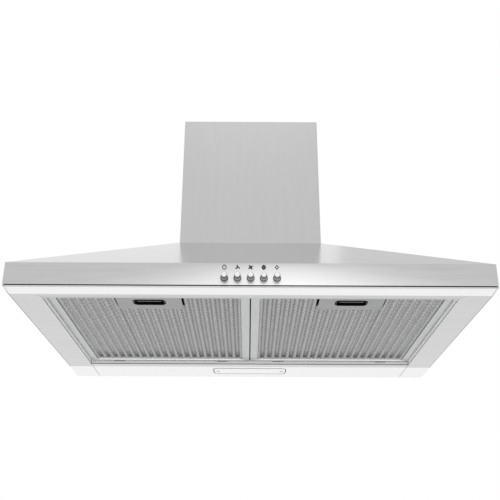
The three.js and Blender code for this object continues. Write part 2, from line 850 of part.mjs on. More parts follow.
// The spiral runs from the tongue round the back and the bottom to the front, growing steadily.
function spiral(extra) {
  const points = [];
  for (let i = 0; i <= spiralSteps; i += 1) {
    const turn = i / spiralSteps;
    const angle = tongueAngle - spiralSweep * turn;
    const radius = wheelRadius + scrollClearance + scrollGrowth * turn + extra;
    points.push([blowerY + radius * Math.cos(angle), blowerHeight + radius * Math.sin(angle)]);
  }
  return points;
}
const scrollSideX = scrollHalfWidth + scrollWall;
const outletFlangeX = scrollSideX + outletFlangeReach;
const [outletRearY] = spiral(scrollWall)[0];
const [outletFrontY] = spiral(scrollWall)[spiralSteps];
const flangeMiddle = outletFlangeReach / 2;
const blowerScrews = sides.flatMap(([, direction]) => [
  [direction * (scrollSideX + flangeMiddle), outletFrontY - flangeMiddle],
  [direction * (scrollSideX + flangeMiddle), outletRearY + flangeMiddle],
]);
const blowerScrewHoles = joined(
  blowerScrews.map((place) => bar("z", screwRadius + gap, outletTop - 3, deckTop + 1, place, 12)),
);
blowerScrews.forEach((place, i) => {
  const headBottom = deckTop + gap;
  const stem = bar("z", screwRadius, outletTop - blowerScrewReach, headBottom + 1, place, 12);
  const head = bar("z", blowerScrewHead, headBottom, headBottom + blowerScrewHeadHeight, place, 16);
  add("blower_screw_" + (i + 1), stem.add(head), "zinc");
});

// ---- Deck: tray that closes the canopy's top and carries blower, spigot and chimney ----------------
const deckFrontY = -chimneyDepth + sheet + gap;
const deckWallTop = deckTop + deckWall;
const spigotCentre = [0, -spigotFromWall];
const boreRadius = spigotRadius - spigotWall;
const boxRight = deckHalf - boxFromDeckSide;
const boxLeft = outletFlangeX + boxSideRoom;
const boxMiddleX = (boxLeft + boxRight) / 2;
const glandPlace = [boxMiddleX, -glandFromWall];
const coverScrewLine = [-coverScrewFromWall, deckTop + deckWall / 2];
const coverScrewHoles = bar("x", coverScrewRadius + gap, -half, half, coverScrewLine, 16);
const deckHollow = block(
  -deckHalf + sheet,
  deckHalf - sheet,
  deckFrontY + sheet,
  shellRearY - sheet,
  deckTop,
  deckWallTop + 1,
);
add(
  "deck_plate",
  block(-deckHalf, deckHalf, deckFrontY, shellRearY, deckBottom, deckWallTop)
    .subtract(deckHollow)
    .subtract(bar("z", boreRadius, deckBottom - 1, deckTop + 1, spigotCentre, 48))
    .subtract(bar("z", glandHole + gap, deckBottom - 1, deckTop + 1, glandPlace, 24))
    .subtract(blowerScrewHoles)
    .subtract(coverScrewHoles),
  "zinc",
);

// ---- Chimney covers: channels open towards the wall, with flanges turned in along it ---------------
function channel(halfWidth, depth, rearY, z0, z1) {
  const openHalf = halfWidth - chimneyReturn;
  return block(-halfWidth, halfWidth, -depth, rearY, z0, z1)
    .subtract(block(-halfWidth + sheet, halfWidth - sheet, -depth + sheet, rearY - sheet, z0 - 1, z1 + 1))
    .subtract(block(-openHalf, openHalf, rearY - 2 * sheet, rearY + 1, z0 - 1, z1 + 1));
}
add(
  "chimney_cover_lower",
  channel(chimneyWidth / 2, chimneyDepth, 0, deckBottom, chimneyTop).subtract(coverScrewHoles),
  "stainless",
);
for (const [side, direction] of sides) {
  const face = direction * (chimneyWidth / 2 + gap);
  const head = face + direction * coverScrewHeadHeight;
  const tip = direction * (deckHalf - sheet - 2 * coverScrewRadius);
  add(
    "chimney_screw_" + side,
    bar("x", coverScrewHead, face, head, coverScrewLine, 20).add(
      bar("x", coverScrewRadius, tip, head, coverScrewLine, 16),
    ),
    "zinc",
  );
}

const upperHalf = chimneyInnerHalf - upperClearance;
const upperDepth = chimneyDepth - sheet - upperClearance;
const upperRearY = -sheet - upperClearance;
const upperBottom = deckWallTop + upperTopDrop;
const upperTop = chimneyTop - upperTopDrop;
const vents = [];
for (let i = 0; i < ventCount; i += 1) {
  const y = -upperDepth / 2 + (i - (ventCount - 1) / 2) * ventPitch;
  const top = upperTop - ventTop;
  vents.push(block(-half, half, y - ventWidth / 2, y + ventWidth / 2, top - ventHeight, top));
}
const bracketTop = upperTop - bracketDrop;
const bracketBottom = bracketTop - bracketHeight;
const bracketScrewX = upperHalf - chimneyReturn / 2;
const bracketScrewZ = (bracketTop + bracketBottom) / 2;
const bracketScrewHoles = joined(
  sides.map(([, direction]) => {
    const place = [direction * bracketScrewX, bracketScrewZ];
    return bar("y", coverScrewRadius + gap, -bracketEar / 2, sheet, place, 16);
  }),
);
add(
  "chimney_cover_upper",
  channel(upperHalf, upperDepth, upperRearY, upperBottom, upperTop)
    .subtract(joined(vents))
    .subtract(bracketScrewHoles),
  "stainless",
);
const webRearY = upperRearY - sheet - gap;
const webHalf = upperHalf - sheet - gap;
const earHollow = block(
  -webHalf + bracketSheet,
  webHalf - bracketSheet,
  webRearY - bracketEar - 1,
  webRearY - bracketSheet,
  bracketBottom - 1,
  bracketTop + 1,
);
// The bracket's middle is pressed back between the chimney's flanges, so that it lies on the wall.
const padHalf = upperHalf - chimneyReturn - padRoom;
const padFold = webRearY - bracketSheet;
const padHollow = block(
  -padHalf + bracketSheet,
  padHalf - bracketSheet,
  padFold - 1,
  -bracketSheet,
  bracketBottom - 1,
  bracketTop + 1,
);
const wallScrewHoles = joined(
  sides.map(([, direction]) => {
    const place = [direction * wallScrewSpread, bracketScrewZ];
    return bar("y", wallScrewRadius, -2 * bracketSheet, bracketSheet, place, 16);
  }),
);
add(
  "chimney_bracket",
  block(-webHalf, webHalf, webRearY - bracketEar, webRearY, bracketBottom, bracketTop)
    .subtract(earHollow)
    .subtract(bracketScrewHoles)
    .add(block(-padHalf, padHalf, padFold, 0, bracketBottom, bracketTop))
    .subtract(padHollow)
    .subtract(wallScrewHoles),
  "zinc",
);
for (const [side, direction] of sides) {
  const place = [direction * bracketScrewX, bracketScrewZ];
  const face = webRearY - bracketSheet - gap;
  add(
    "bracket_screw_" + side,
    bar("y", coverScrewHead, face - coverScrewHeadHeight, face, place, 16).add(
      bar("y", coverScrewRadius, face - 1, upperRearY - gap, place, 16),
    ),
    "zinc",
  );
}

// ---- Duct spigot, damper pin and flaps ---------------------------------------------------------------
const spigotBottom = deckTop + gap;
const spigotTop = spigotBottom + spigotHeight;
const pinZ = deckTop + damperHeight;
const pinHalf = boreRadius + pinEndReach;
const flapTop = pinZ + damperSheet / 2;
const flapBottom = pinZ - damperSheet / 2;
const spigotTube = bar("z", spigotRadius, spigotBottom, spigotTop, spigotCentre, 48)
  .add(bar("z", spigotRadius + spigotFlange, spigotBottom, spigotBottom + spigotFlangeSheet, spigotCentre, 48))
  .subtract(bar("z", boreRadius, spigotBottom - 1, spigotTop + 1, spigotCentre, 48));
const stops = sides.map(([, direction]) =>
  block(
    direction * (boreRadius + spigotWall / 2),
    direction * (boreRadius - stopReach),
    -spigotFromWall - stopWidth / 2,
    -spigotFromWall + stopWidth / 2,
    flapBottom - gap - stopSheet,
    flapBottom - gap,
  ),
);
function acrossBore(radius, reach) {
  return bar("y", radius, -spigotFromWall - reach, -spigotFromWall + reach, [0, pinZ], 16);
}
add(
  "duct_spigot",
  spigotTube.add(joined(stops)).subtract(acrossBore(damperPinRadius + gap, pinHalf + gap)),
  "darkPlastic",
);
add("damper_pin", acrossBore(damperPinRadius, pinHalf), "zinc");
const flapRadius = boreRadius - flapRoom;
const knuckleLength = (flapRadius - knuckleStart - knuckleSpace - knuckleEndRoom) / 2;
const plateStart = knuckleRadius + gap;
for (const [side, direction] of sides) {
  const halfPlate = block(
    direction * plateStart,
    direction * 2 * flapRadius,
    -spigotFromWall - flapRadius,
    -spigotFromWall + flapRadius,
    flapBottom,
    flapTop,
  );
  const plate = bar("z", flapRadius, flapBottom, flapTop, spigotCentre, 48).intersect(halfPlate);
  // The two flaps' knuckles take turns along the pin.
  const nearY = -spigotFromWall + direction * knuckleStart;
  const farY = -spigotFromWall - direction * (knuckleStart + knuckleLength + knuckleSpace);
  const knuckles = [
    [nearY, nearY + direction * knuckleLength],
    [farY, farY - direction * knuckleLength],
  ].map(([from, to]) => {
    const web = block(0, direction * (plateStart + gap), from, to, flapBottom, flapTop);
    return bar("y", knuckleRadius, from, to, [0, pinZ], 16).add(web);
  });
  const flap = plate.add(joined(knuckles)).subtract(acrossBore(damperPinRadius + gap, spigotRadius));
  add("damper_flap_" + side, flap, "darkPlastic");
}

// ---- Blower: scroll in two halves, impeller, motor ----------------------------------------------------
const axle = [blowerY, blowerHeight];
function scrollShape(extra, top) {
  const points = spiral(extra);
  const [rearY] = points[0];
  const [frontY] = points[points.length - 1];
  return outline([...points, [frontY, top], [rearY, top]]);
}
const inletRadius = wheelRadius - bladeChord - inletRoom;
const outletFlange = block(
  -outletFlangeX,
  outletFlangeX,
  outletFrontY - outletFlangeReach,
  outletRearY + outletFlangeReach,
  outletTop - outletFlangeSheet,
  outletTop,
);
const scrollBody = pushed(scrollShape(scrollWall, outletTop), "x", -scrollSideX, scrollSideX)
  .add(outletFlange)
  .subtract(pushed(scrollShape(0, outletTop + 1), "x", -scrollHalfWidth, scrollHalfWidth))
  .subtract(blowerScrewHoles)
  .subtract(bar("x", inletRadius, scrollHalfWidth - 1, scrollSideX + 1, axle, 40))
  .subtract(bar("x", shaftHoleRadius, -scrollSideX - 1, -scrollHalfWidth + 1, axle, 24));
for (const [side, direction] of sides) {
  const keep = block(direction * (gap / 2), direction * half, -hoodDepth, 0, 0, canopyTop + 1);
  add("scroll_half_" + side, scrollBody.intersect(keep), "darkPlastic");
}

const wheelLeft = -wheelWidth / 2;
const wheelRight = wheelWidth / 2;
const hubRight = wheelLeft + hubLength;
const ringRadius = wheelRadius - bladeChord;
const inletRing = bar("x", wheelRadius, wheelRight - wheelRing, wheelRight, axle, 48).subtract(
  bar("x", ringRadius, wheelRight - wheelRing - 1, wheelRight + 1, axle, 48),
);
const blades = [];
for (let i = 0; i < bladeCount; i += 1) {
  const blade = new THREE.BoxGeometry(wheelWidth - wheelDisc, bladeSheet, bladeChord);
  blade.rotateX(-bladeSweep);
  blade.translate(0, 0, wheelRadius - bladeChord / 2 - bladeSheet / 2);
  blade.rotateX((i / bladeCount) * Math.PI * 2);
  blade.translate(0, blowerY, blowerHeight);
  blades.push(solid(blade));
}
add(
  "impeller",
  bar("x", wheelRadius, wheelLeft, wheelLeft + wheelDisc, axle, 48)
    .add(bar("x", hubRadius, wheelLeft, hubRight, axle, 24))
    .add(inletRing)
    .subtract(bar("x", shaftRadius + gap, wheelLeft - 1, hubRight + 1, axle, 16))
    .add(joined(blades)),
  "darkPlastic",
);
const motorPlateLeft = -scrollSideX - gap - motorPlateSheet;
const motorRight = motorPlateLeft - gap;
const motorLeft = motorRight - motorLength;
const shaftLeft = motorRight - shaftInMotor;
add("motor_shaft", bar("x", shaftRadius, shaftLeft, hubRight + shaftPastHub, axle, 20), "zinc");
const nutLeft = hubRight + gap;
add(
  "impeller_nut",
  bar("x", nutRadius, nutLeft, nutLeft + nutLength, axle, 6).subtract(
    bar("x", shaftRadius + gap, nutLeft - 1, nutLeft + nutLength + 1, axle, 16),
  ),
  "zinc",
);
add(
  "motor_plate",
  bar("x", motorPlateRadius, motorPlateLeft, motorPlateLeft + motorPlateSheet, axle, 40).subtract(
    bar("x", shaftHoleRadius, motorPlateLeft - 1, motorPlateLeft + motorPlateSheet + 1, axle, 24),
  ),
  "zinc",
);
add(
  "motor_body",
  bar("x", motorRadius, motorLeft, motorRight, axle, 36)
    .add(bar("x", shaftHoleRadius - 1, motorLeft, -scrollHalfWidth, axle, 24))
    .subtract(bar("x", shaftRadius + gap, shaftLeft - 2, -scrollHalfWidth + 1, axle, 20)),
  "zinc",
);
const capBack = motorLeft - gap;
const capFront = capBack - motorCapLength;
const motorCapRadius = motorRadius - 2;
const endCap = turned(
  [
    [0, capFront],
    [motorCapRadius - motorCapBevel, capFront],
    [motorCapRadius, capFront + motorCapBevel],
    [motorCapRadius, capBack],
    [0, capBack],
  ],
  [0, 0],
  30,
);
add("motor_end_cap", endCap.rotate([0, 0, -90]).translate([0, blowerY, blowerHeight]), "darkPlastic");

// ---- Capacitor, terminal box, gland and inner cables ---------------------------------------------------
const capacitorPlace = [outletFlangeX + capacitorRoom + capacitorRadius, -capacitorFromWall];
const capacitorTop = outletTop - studLength;
add(
  "capacitor",
  bar("z", capacitorRadius, capacitorTop - capacitorLength, capacitorTop, capacitorPlace, 24).add(
    bar("z", studRadius, capacitorTop - 1, outletTop, capacitorPlace, 16),
  ),
  "white",
);
const boxFrontY = -boxFront;
const boxRearY = -boxRear;
const boxBottom = outletTop - boxHeight;
const boxHollow = block(
  boxLeft + boxWall,
  boxRight - boxWall,
  boxFrontY + boxWall,
  boxRearY - boxWall,
  boxBottom - 1,
  outletTop - boxWall,
);
add(
  "terminal_box",
  block(boxLeft, boxRight, boxFrontY, boxRearY, boxBottom, outletTop)
    .subtract(boxHollow)
    .subtract(bar("z", glandHole + gap, outletTop - 2 * boxWall, outletTop + 1, glandPlace, 24)),
  "darkPlastic",
);
const lidTop = boxBottom - gap;
const lidBottom = lidTop - lidSheet;
add("terminal_box_cover", block(boxLeft, boxRight, boxFrontY, boxRearY, lidBottom, lidTop), "darkPlastic");
add(
  "cable_gland",
  bar("z", glandHole, outletTop - 3 * boxWall, deckTop + glandRise, glandPlace, 24)
    .add(bar("z", glandNut, deckTop + gap, deckTop + glandNutHeight, glandPlace, 6))
    .subtract(bar("z", glandBore, 0, chimneyTop, glandPlace, 20)),
  "black",
);

// The switch cable lies on the centre rail, then climbs past the scroll to the terminal box.
const railCableZ = ledgeTop + 2 * gap + cableRadius;
const switchCableY = boxFrontY + 22;
const railEndY = blowerY - 135;
const railStartY = recessFrontY + 20;
const railStepY = (railEndY - railStartY) / 4;
add(
  "switch_cable",
  cable(
    [
      [0, blockRearY + gap, blockTop - cableRadius],
      [0, recessFrontY - 2, railCableZ],
      [0, railStartY, railCableZ],
      [0, railStartY + railStepY, railCableZ],
      [0, railStartY + 2 * railStepY, railCableZ],
      [0, railStartY + 3 * railStepY, railCableZ],
      [0, railEndY, railCableZ + 3],
      [10, railEndY + 28, railCableZ + 13],
      [46, railEndY + 48, railCableZ + 27],
      [scrollSideX + 16, railEndY + 82, blowerHeight - 10],
      [boxMiddleX - 2, switchCableY - 20, lidBottom - 24],
      [boxMiddleX - 2, switchCableY, lidBottom - 12],
      [boxMiddleX - 2, switchCableY, lidBottom - gap],
    ],
    34,
  ),
  "cable",
);
const lampCableX = driverX + driverWidth / 2;
add(
  "lamp_cable",
  cable(
    [
      [lampCableX, -lampFromWall, driverTop + gap],
      [lampCableX, -lampFromWall, driverTop + 20],
      [(lampCableX + boxMiddleX) / 2, -lampFromWall, (driverTop + lidBottom) / 2],
      [boxMiddleX + 6, -lampFromWall, lidBottom - 16],
      [boxMiddleX + 6, -lampFromWall, lidBottom - gap],
    ],
    16,
  ),
  "cable",
);
const motorCableX = (motorLeft + motorRight) / 2;
const motorCableZ = outletTop - 10;
const motorTop = blowerHeight + motorRadius;
add(
  "motor_cable",
  cable(
    [
      [motorCableX, blowerY, motorTop + gap],
      [motorCableX, blowerY, motorTop + 10],
      [motorCableX + 8, blowerY + 34, motorCableZ - 2],
      [motorCableX + 34, -glandFromWall, motorCableZ],
      [0, -glandFromWall, motorCableZ],
      [boxLeft - 16, -glandFromWall, motorCableZ],
      [boxLeft - gap, -glandFromWall, motorCableZ],
    ],
    24,
  ),
  "cable",
);

export default hood;
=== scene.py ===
"""A 60 cm wall-mounted chimney hood in brushed stainless steel, seen from below and in front.

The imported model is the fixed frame: every piece below sits where the frame says and rides one of its bodies.
Heights in millimetres count from the underside, which lies 120 mm below the frame's zero.
"""
import bpy
import bmesh
import math
import numpy as np
from mathutils import Matrix, Vector


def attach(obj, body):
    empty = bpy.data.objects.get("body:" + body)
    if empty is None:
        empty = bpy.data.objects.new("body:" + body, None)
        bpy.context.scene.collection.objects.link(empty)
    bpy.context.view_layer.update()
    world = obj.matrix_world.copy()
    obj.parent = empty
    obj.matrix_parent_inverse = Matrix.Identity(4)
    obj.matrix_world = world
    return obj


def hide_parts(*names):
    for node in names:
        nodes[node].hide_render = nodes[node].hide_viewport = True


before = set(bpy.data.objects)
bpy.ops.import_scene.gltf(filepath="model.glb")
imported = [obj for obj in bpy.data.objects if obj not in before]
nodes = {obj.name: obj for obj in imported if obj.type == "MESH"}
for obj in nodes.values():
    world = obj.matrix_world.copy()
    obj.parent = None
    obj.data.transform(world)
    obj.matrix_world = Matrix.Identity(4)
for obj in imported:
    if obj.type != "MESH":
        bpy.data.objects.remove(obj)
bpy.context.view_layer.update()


# ---------------------------------------------------------------- canopy
# The canopy is one sheet of 1 mm stainless steel, laser-cut and folded into a pyramid with an upright band at
# its foot. Its outside is brushed along the width, and its folds and cut edges are eased by half a millimetre.

def colour(code):
    """A hex colour as printed (sRGB) turned to the linear numbers that a shader takes."""
    srgb = np.array([int(code[i:i + 2], 16) for i in (0, 2, 4)]) / 255
    linear = np.where(srgb <= 0.04045, srgb / 12.92, ((srgb + 0.055) / 1.055) ** 2.4)
    return (*linear.tolist(), 1.0)


def add(tree, kind, inputs=(), **settings):
    """Adds a node with its settings. Inputs come by name or in order: a socket is joined, a value filled in."""
    node = tree.nodes.new("ShaderNode" + kind)
    for name, value in settings.items():
        setattr(node, name, value)
    for name, value in (inputs.items() if isinstance(inputs, dict) else enumerate(inputs)):
        if isinstance(value, bpy.types.NodeSocket):
            tree.links.new(value, node.inputs[name])
        else:
            node.inputs[name].default_value = value
    return node


def surface(name, **values):
    """A new material with its tree and its shader; the values go straight onto the shader's own sockets."""
    made = bpy.data.materials.new(name)
    made.use_nodes = True
    tree = made.node_tree
    shader = tree.nodes["Principled BSDF"]
    for socket, value in values.items():
        shader.inputs[socket.replace("_", " ")].default_value = value
    return made, tree, shader


def finish(tree, shader, tone, gloss, height, strength, depth):
    """Joins a tone, a roughness and a bump to the shader; the bump is `depth` millimetres deep."""
    tree.links.new(tone, shader.inputs["Base Color"])
    tree.links.new(gloss, shader.inputs["Roughness"])
    bump = add(tree, "Bump", {"Height": height, "Strength": strength, "Distance": depth / 1000})
    tree.links.new(bump.outputs[0], shader.inputs["Normal"])


def metal(name, dark, light, rough, across, along, grain="X", depth=0.02, turned=0.0, wide=0.006):
    """Sheet metal with a drawn grain: noise squeezed to `across` millimetres one way and `along` the other.

    The noise picks a colour between dark and light, a roughness in the pair `rough` and the height of the
    bump, `depth` millimetres deep. A second, wider noise of `wide` metres gives the slow cloudiness of sheet.
    A grain along X runs along Y on the faces that look sideways, as it does round a fold. `turned` is how far
    the shine is drawn out along it. Real brushing is some 0.05 mm wide, too fine to show, and drawn coarser.
    One noise lies mostly between 0.3 and 0.7, and two added together mostly between 0.7 and 1.3.
    """
    made, tree, shader = surface(name, Metallic=1.0, Anisotropic=turned)
    seat = add(tree, "TexCoord").outputs
    place = seat["Object"]
    if grain == "X":
        x, y, z = add(tree, "SeparateXYZ", [place]).outputs
        swapped = add(tree, "CombineXYZ", [y, x, z]).outputs[0]
        sideways = add(tree, "SeparateXYZ", [seat["Normal"]]).outputs["X"]
        sideways = add(tree, "Math", [sideways], operation="ABSOLUTE").outputs[0]
        on_side = add(tree, "Math", [sideways, 0.4], operation="GREATER_THAN").outputs[0]
        place = add(tree, "Mix", {"Factor": on_side, 4: place, 5: swapped}, data_type="VECTOR").outputs[1]
    noises = []
    for crosswise, lengthwise, detail in ((1000 / across, 1000 / along, 3.0), (1 / wide, 0.12 / wide, 2.0)):
        scale = [crosswise] * 3
        scale["XYZ".index(grain)] = lengthwise
        squeezed = add(tree, "Mapping", {"Vector": place, "Scale": scale}).outputs[0]
        noise = add(tree, "TexNoise", {"Vector": squeezed, "Scale": 1.0, "Detail": detail})
        noises.append(noise.outputs["Fac"])
    both = add(tree, "Math", noises, operation="ADD").outputs[0]
    pick = add(tree, "MapRange", [both, 0.7, 1.3]).outputs[0]
    tone = add(tree, "Mix", {"Factor": pick, "A": colour(dark), "B": colour(light)}, data_type="RGBA")
    gloss = add(tree, "MapRange", [noises[0], 0.3, 0.7, *rough]).outputs[0]
    finish(tree, shader, tone.outputs["Result"], gloss, noises[0], strength=0.4, depth=depth)
    if turned:
        run = tuple(float(axis == grain) for axis in "XYZ")
        if grain == "X":
            run = add(tree, "Mix", {"Factor": on_side, 4: run, 5: (0.0, 1.0, 0.0)}, data_type="VECTOR")
            run = run.outputs[1]
        run = add(tree, "VectorTransform", {"Vector": run},
                  vector_type="VECTOR", convert_from="OBJECT", convert_to="WORLD")
        tree.links.new(run.outputs[0], shader.inputs["Tangent"])
    return made


def seated(made):
    """A material's tree and its Object coordinates X, Y and Z in metres."""
    tree = made.node_tree
    return (tree, *add(tree, "SeparateXYZ", [add(tree, "TexCoord").outputs["Object"]]).outputs)


def overlap(tree, mask, *others):
    """What every one of several masks covers: all of them multiplied with one another."""
    for other in others:
        mask = add(tree, "Math", [mask, other], operation="MULTIPLY").outputs[0]
    return mask


def tint_where(made, mask, tone):
    """Lays a tone over a finish as far as the mask is 1."""
    tree = made.node_tree
    base = tree.nodes["Principled BSDF"].inputs["Base Color"]
    laid = add(tree, "Mix", {"Factor": mask, "A": base.links[0].from_socket, "B": colour(tone)},
               data_type="RGBA")
    tree.links.new(laid.outputs["Result"], base)


def gloss_where(made, mask, value):
    """Gives a finish another roughness as far as the mask is 1."""
    tree = made.node_tree
    rough = tree.nodes["Principled BSDF"].inputs["Roughness"]
    laid = add(tree, "Mix", {"Factor": mask, 2: rough.links[0].from_socket, 3: value}, data_type="FLOAT")
    tree.links.new(laid.outputs[0], rough)


def wear(made, *names):
    """Gives CAD nodes their finish."""
    for name in names:
        if not nodes[name].material_slots:
            nodes[name].data.materials.append(made)
        for held in nodes[name].material_slots:
            held.material = made


def eased(name, new_name, body, made, width, segments=3):
    """A CAD node whose sharp edges are rounded: its copy is merged, its flat faces joined, its edges bevelled.

    The width is in millimetres. Edges of 28 degrees or more are rounded. The copy stands where the node does
    and takes its place.
    """
    copy = nodes[name].copy()
    copy.data = nodes[name].data.copy()
    copy.name = copy.data.name = new_name
    copy.parent = None
    copy.matrix_world.identity()
    bpy.context.scene.collection.objects.link(copy)
    work = bmesh.new()
    work.from_mesh(copy.data)
    bmesh.ops.remove_doubles(work, verts=work.verts, dist=2e-6)
    bmesh.ops.dissolve_limit(work, angle_limit=math.radians(0.5), verts=work.verts, edges=work.edges)
    bmesh.ops.recalc_face_normals(work, faces=work.faces)
    work.to_mesh(copy.data)
    work.free()
    copy.data.materials.clear()
    copy.data.materials.append(made)
    ease = copy.modifiers.new("eased edges", "BEVEL")
    ease.width, ease.segments = width / 1000, segments
    ease.limit_method, ease.angle_limit = "ANGLE", math.radians(28)
    copy.data.polygons.foreach_set("use_smooth", [True] * len(copy.data.polygons))
    copy.data.set_sharp_from_angle(angle=math.radians(38))
    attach(copy, body)
    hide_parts(name)


# Brushed stainless: a flat mid grey that mirrors what is above it softly, in streaks along the width.
canopy_steel = metal("brushed stainless steel, canopy", "bcbcbc", "c4c4c4", (0.16, 0.24), 0.35, 60, turned=0.55)
# The band is a little duller than the slopes and carries a pool of light round the buttons: a bell, e to the
# minus (aside / spread) squared, that widens downwards and fades out towards the band's upper fold.
tree, x, y, z = seated(canopy_steel)
light_middle, band_head, band_foot, slope_front, band_front = 0.038, -0.0878, -0.1163, -0.4488, -0.4495
spread_at_head, spread_at_foot, band_roughness = 0.088, 0.148, 0.26
down = add(tree, "MapRange", [z, band_head, band_foot]).outputs[0]
spread = add(tree, "MapRange", [down, 0.0, 1.0, spread_at_head, spread_at_foot]).outputs[0]
aside = add(tree, "Math", [x, light_middle], operation="SUBTRACT").outputs[0]
aside = add(tree, "Math", [aside, spread], operation="DIVIDE").outputs[0]
squared = add(tree, "Math", [aside, aside], operation="MULTIPLY").outputs[0]
bell = add(tree, "Math", [math.exp(-1), squared], operation="POWER").outputs[0]
fade = add(tree, "Math", [down, 0.5], operation="POWER").outputs[0]
on_band = add(tree, "MapRange", [y, slope_front, band_front]).outputs[0]
tint_where(canopy_steel, overlap(tree, bell, fade, on_band), "ffffff")
gloss_where(canopy_steel, on_band, band_roughness)
eased("canopy_shell", "canopy_sheet", "hood", canopy_steel, 0.45)


# ---------------------------------------------------------------- back panel and deck
# Galvanised sheet closes the canopy behind and on top. It hangs on two keyhole slots, and nobody sees it
# once the hood is up: it keeps the mottled zinc bloom of the coil it was cut from.

# Zinc: flakes some 8 mm across, each a slightly different grey, with a grit of about a millimetre over them.
flake_size, grit_size = 8.3333, 1.1111
zinc, tree, shader = surface("galvanised steel", Metallic=1.0)
place = add(tree, "TexCoord").outputs["Object"]
flakes = add(tree, "TexVoronoi", {"Vector": place, "Scale": 1000 / flake_size, "Randomness": 1.0})
flake = add(tree, "SeparateColor", {"Color": flakes.outputs["Color"]}).outputs[0]
grit = add(tree, "TexNoise", {"Vector": place, "Scale": 1000 / grit_size, "Detail": 2.0}).outputs["Fac"]
pick = add(tree, "Math", [flake, grit], operation="MULTIPLY").outputs[0]
tone = add(tree, "Mix", {"Factor": pick, "A": colour("9fa3a6"), "B": colour("c3c6c8")}, data_type="RGBA")
gloss = add(tree, "MapRange", [flake, 0.0, 1.0, 0.32, 0.48]).outputs[0]
finish(tree, shader, tone.outputs["Result"], gloss, grit, strength=0.2, depth=0.03)
eased("back_panel", "back_sheet", "hood", zinc, 0.2, segments=2)
eased("deck_plate", "deck_sheet", "hood", zinc, 0.3, segments=2)
wear(zinc, "switch_bracket", "motor_plate", "centre_rail", "motor_body", "capacitor")


# ---------------------------------------------------------------- duct spigot, flaps and blower
# The round duct spigot, its two non-return flaps and the two halves of the blower scroll are moulded in black
# and dark grey polypropylene, and hang from the deck. The faint eroded texture of the mould stays on them.

def moulded(name, dark, light, rough, grit=0.6, depth=0.02, **values):
    """Moulded plastic: an eroded texture of `grit` millimetres moves its colour, gloss and bump a little.

    The real texture is some 0.1 mm wide and wouldn't show, so it is drawn coarser. A slow cloudiness, as the
    flow of the plastic leaves it, lies under it.
    """
    cloud_size = 28.571
    made, tree, shader = surface(name, **values)
    place = add(tree, "TexCoord").outputs["Object"]
    grains = add(tree, "TexNoise", {"Vector": place, "Scale": 1000 / grit, "Detail": 2.0}).outputs["Fac"]
    cloud = add(tree, "TexNoise", {"Vector": place, "Scale": 1000 / cloud_size, "Detail": 2.0}).outputs["Fac"]
    both = add(tree, "Math", [grains, cloud], operation="ADD").outputs[0]
    pick = add(tree, "MapRange", [both, 0.7, 1.3]).outputs[0]
    tone = add(tree, "Mix", {"Factor": pick, "A": colour(dark), "B": colour(light)}, data_type="RGBA")
    gloss = add(tree, "MapRange", [cloud, 0.3, 0.7, *rough]).outputs[0]
    finish(tree, shader, tone.outputs["Result"], gloss, grains, strength=0.3, depth=depth)
    return made


# Black and dark grey polypropylene: a soft sheen, so that round parts show a broad dull light.
black_plastic = moulded("moulded black polypropylene", "0c0c0d", "161617", (0.34, 0.46))
grey_plastic = moulded("moulded dark grey polypropylene", "2f3134", "3c3e41", (0.42, 0.55))
# White polycarbonate of the lamp, and the duller white sheath of its cables.
white_plastic = moulded("moulded white polycarbonate", "dcdcda", "e8e8e6", (0.3, 0.4))
cable_sheath = moulded("extruded PVC cable sheath", "d5d5d2", "e0e0dd", (0.4, 0.5))
# Zinc-plated steel: pale, with short scratches in every direction.
screw_steel = metal("zinc-plated screw steel", "9a9c9e", "bdbfc1", (0.22, 0.34), 0.2, 0.4, wide=0.002)
eased("duct_spigot", "spigot_ring", "hood", black_plastic, 0.4, segments=2)
wear(black_plastic, "damper_flap_left", "damper_flap_right")
wear(grey_plastic, "scroll_half_left", "scroll_half_right", "impeller", "motor_end_cap", "terminal_box",
     "terminal_box_cover", "switch_block", "cable_gland")
wear(white_plastic, "led_driver", "lamp_housing", "led_board")
wear(cable_sheath, "switch_cable", "lamp_cable", "motor_cable")
wear(screw_steel, *[name for name in nodes if "screw" in name], "damper_pin", "impeller_nut", "motor_shaft")


# ---------------------------------------------------------------- underside frame and lamp panel
# The frame round the filters and the panel behind them are pressed from bright-rolled steel and welded into the
# canopy. From below they mirror the pale room; the rolled front lip and the panel by the wall are painted lighter
# still, a painted reflection of the room.

# Bright-rolled steel: pale and nearly even, with a faint grain along the width.
bright_steel = metal("bright-rolled steel, underside", "cbcbcb", "d3d3d3", (0.2, 0.3), 0.4, 30, turned=0.3)
tree = bright_steel.node_tree
seat = add(tree, "TexCoord").outputs
x, y, z = add(tree, "SeparateXYZ", [seat["Object"]]).outputs
from_middle = add(tree, "Math", [x], operation="ABSOLUTE").outputs[0]
upwards = add(tree, "SeparateXYZ", [seat["Normal"]]).outputs["Z"]
looks_down = add(tree, "MapRange", [upwards, -0.6, -0.8]).outputs[0]
# The outermost edge of the sheet at each side is a darker grey, as far back as the seam of the lamp panel.
lip_rear, panel_front, sheet_side = -0.4245, -0.0710, 0.2984
lip = add(tree, "MapRange", [y, lip_rear + 0.001, lip_rear - 0.001]).outputs[0]
by_wall = add(tree, "MapRange", [y, panel_front - 0.0005, panel_front + 0.0005]).outputs[0]
at_side = add(tree, "MapRange", [from_middle, sheet_side, sheet_side + 0.0003]).outputs[0]
ahead = add(tree, "MapRange", [y, panel_front + 0.002, panel_front - 0.002]).outputs[0]
# Painted reflection: the lip and the panel by the wall are painted lighter where they look down.
tint_where(bright_steel, overlap(tree, lip, looks_down), "f6f6f6")
tint_where(bright_steel, overlap(tree, by_wall, looks_down), "f4f4f4")
tint_where(bright_steel, overlap(tree, at_side, ahead), "6a6a6a")
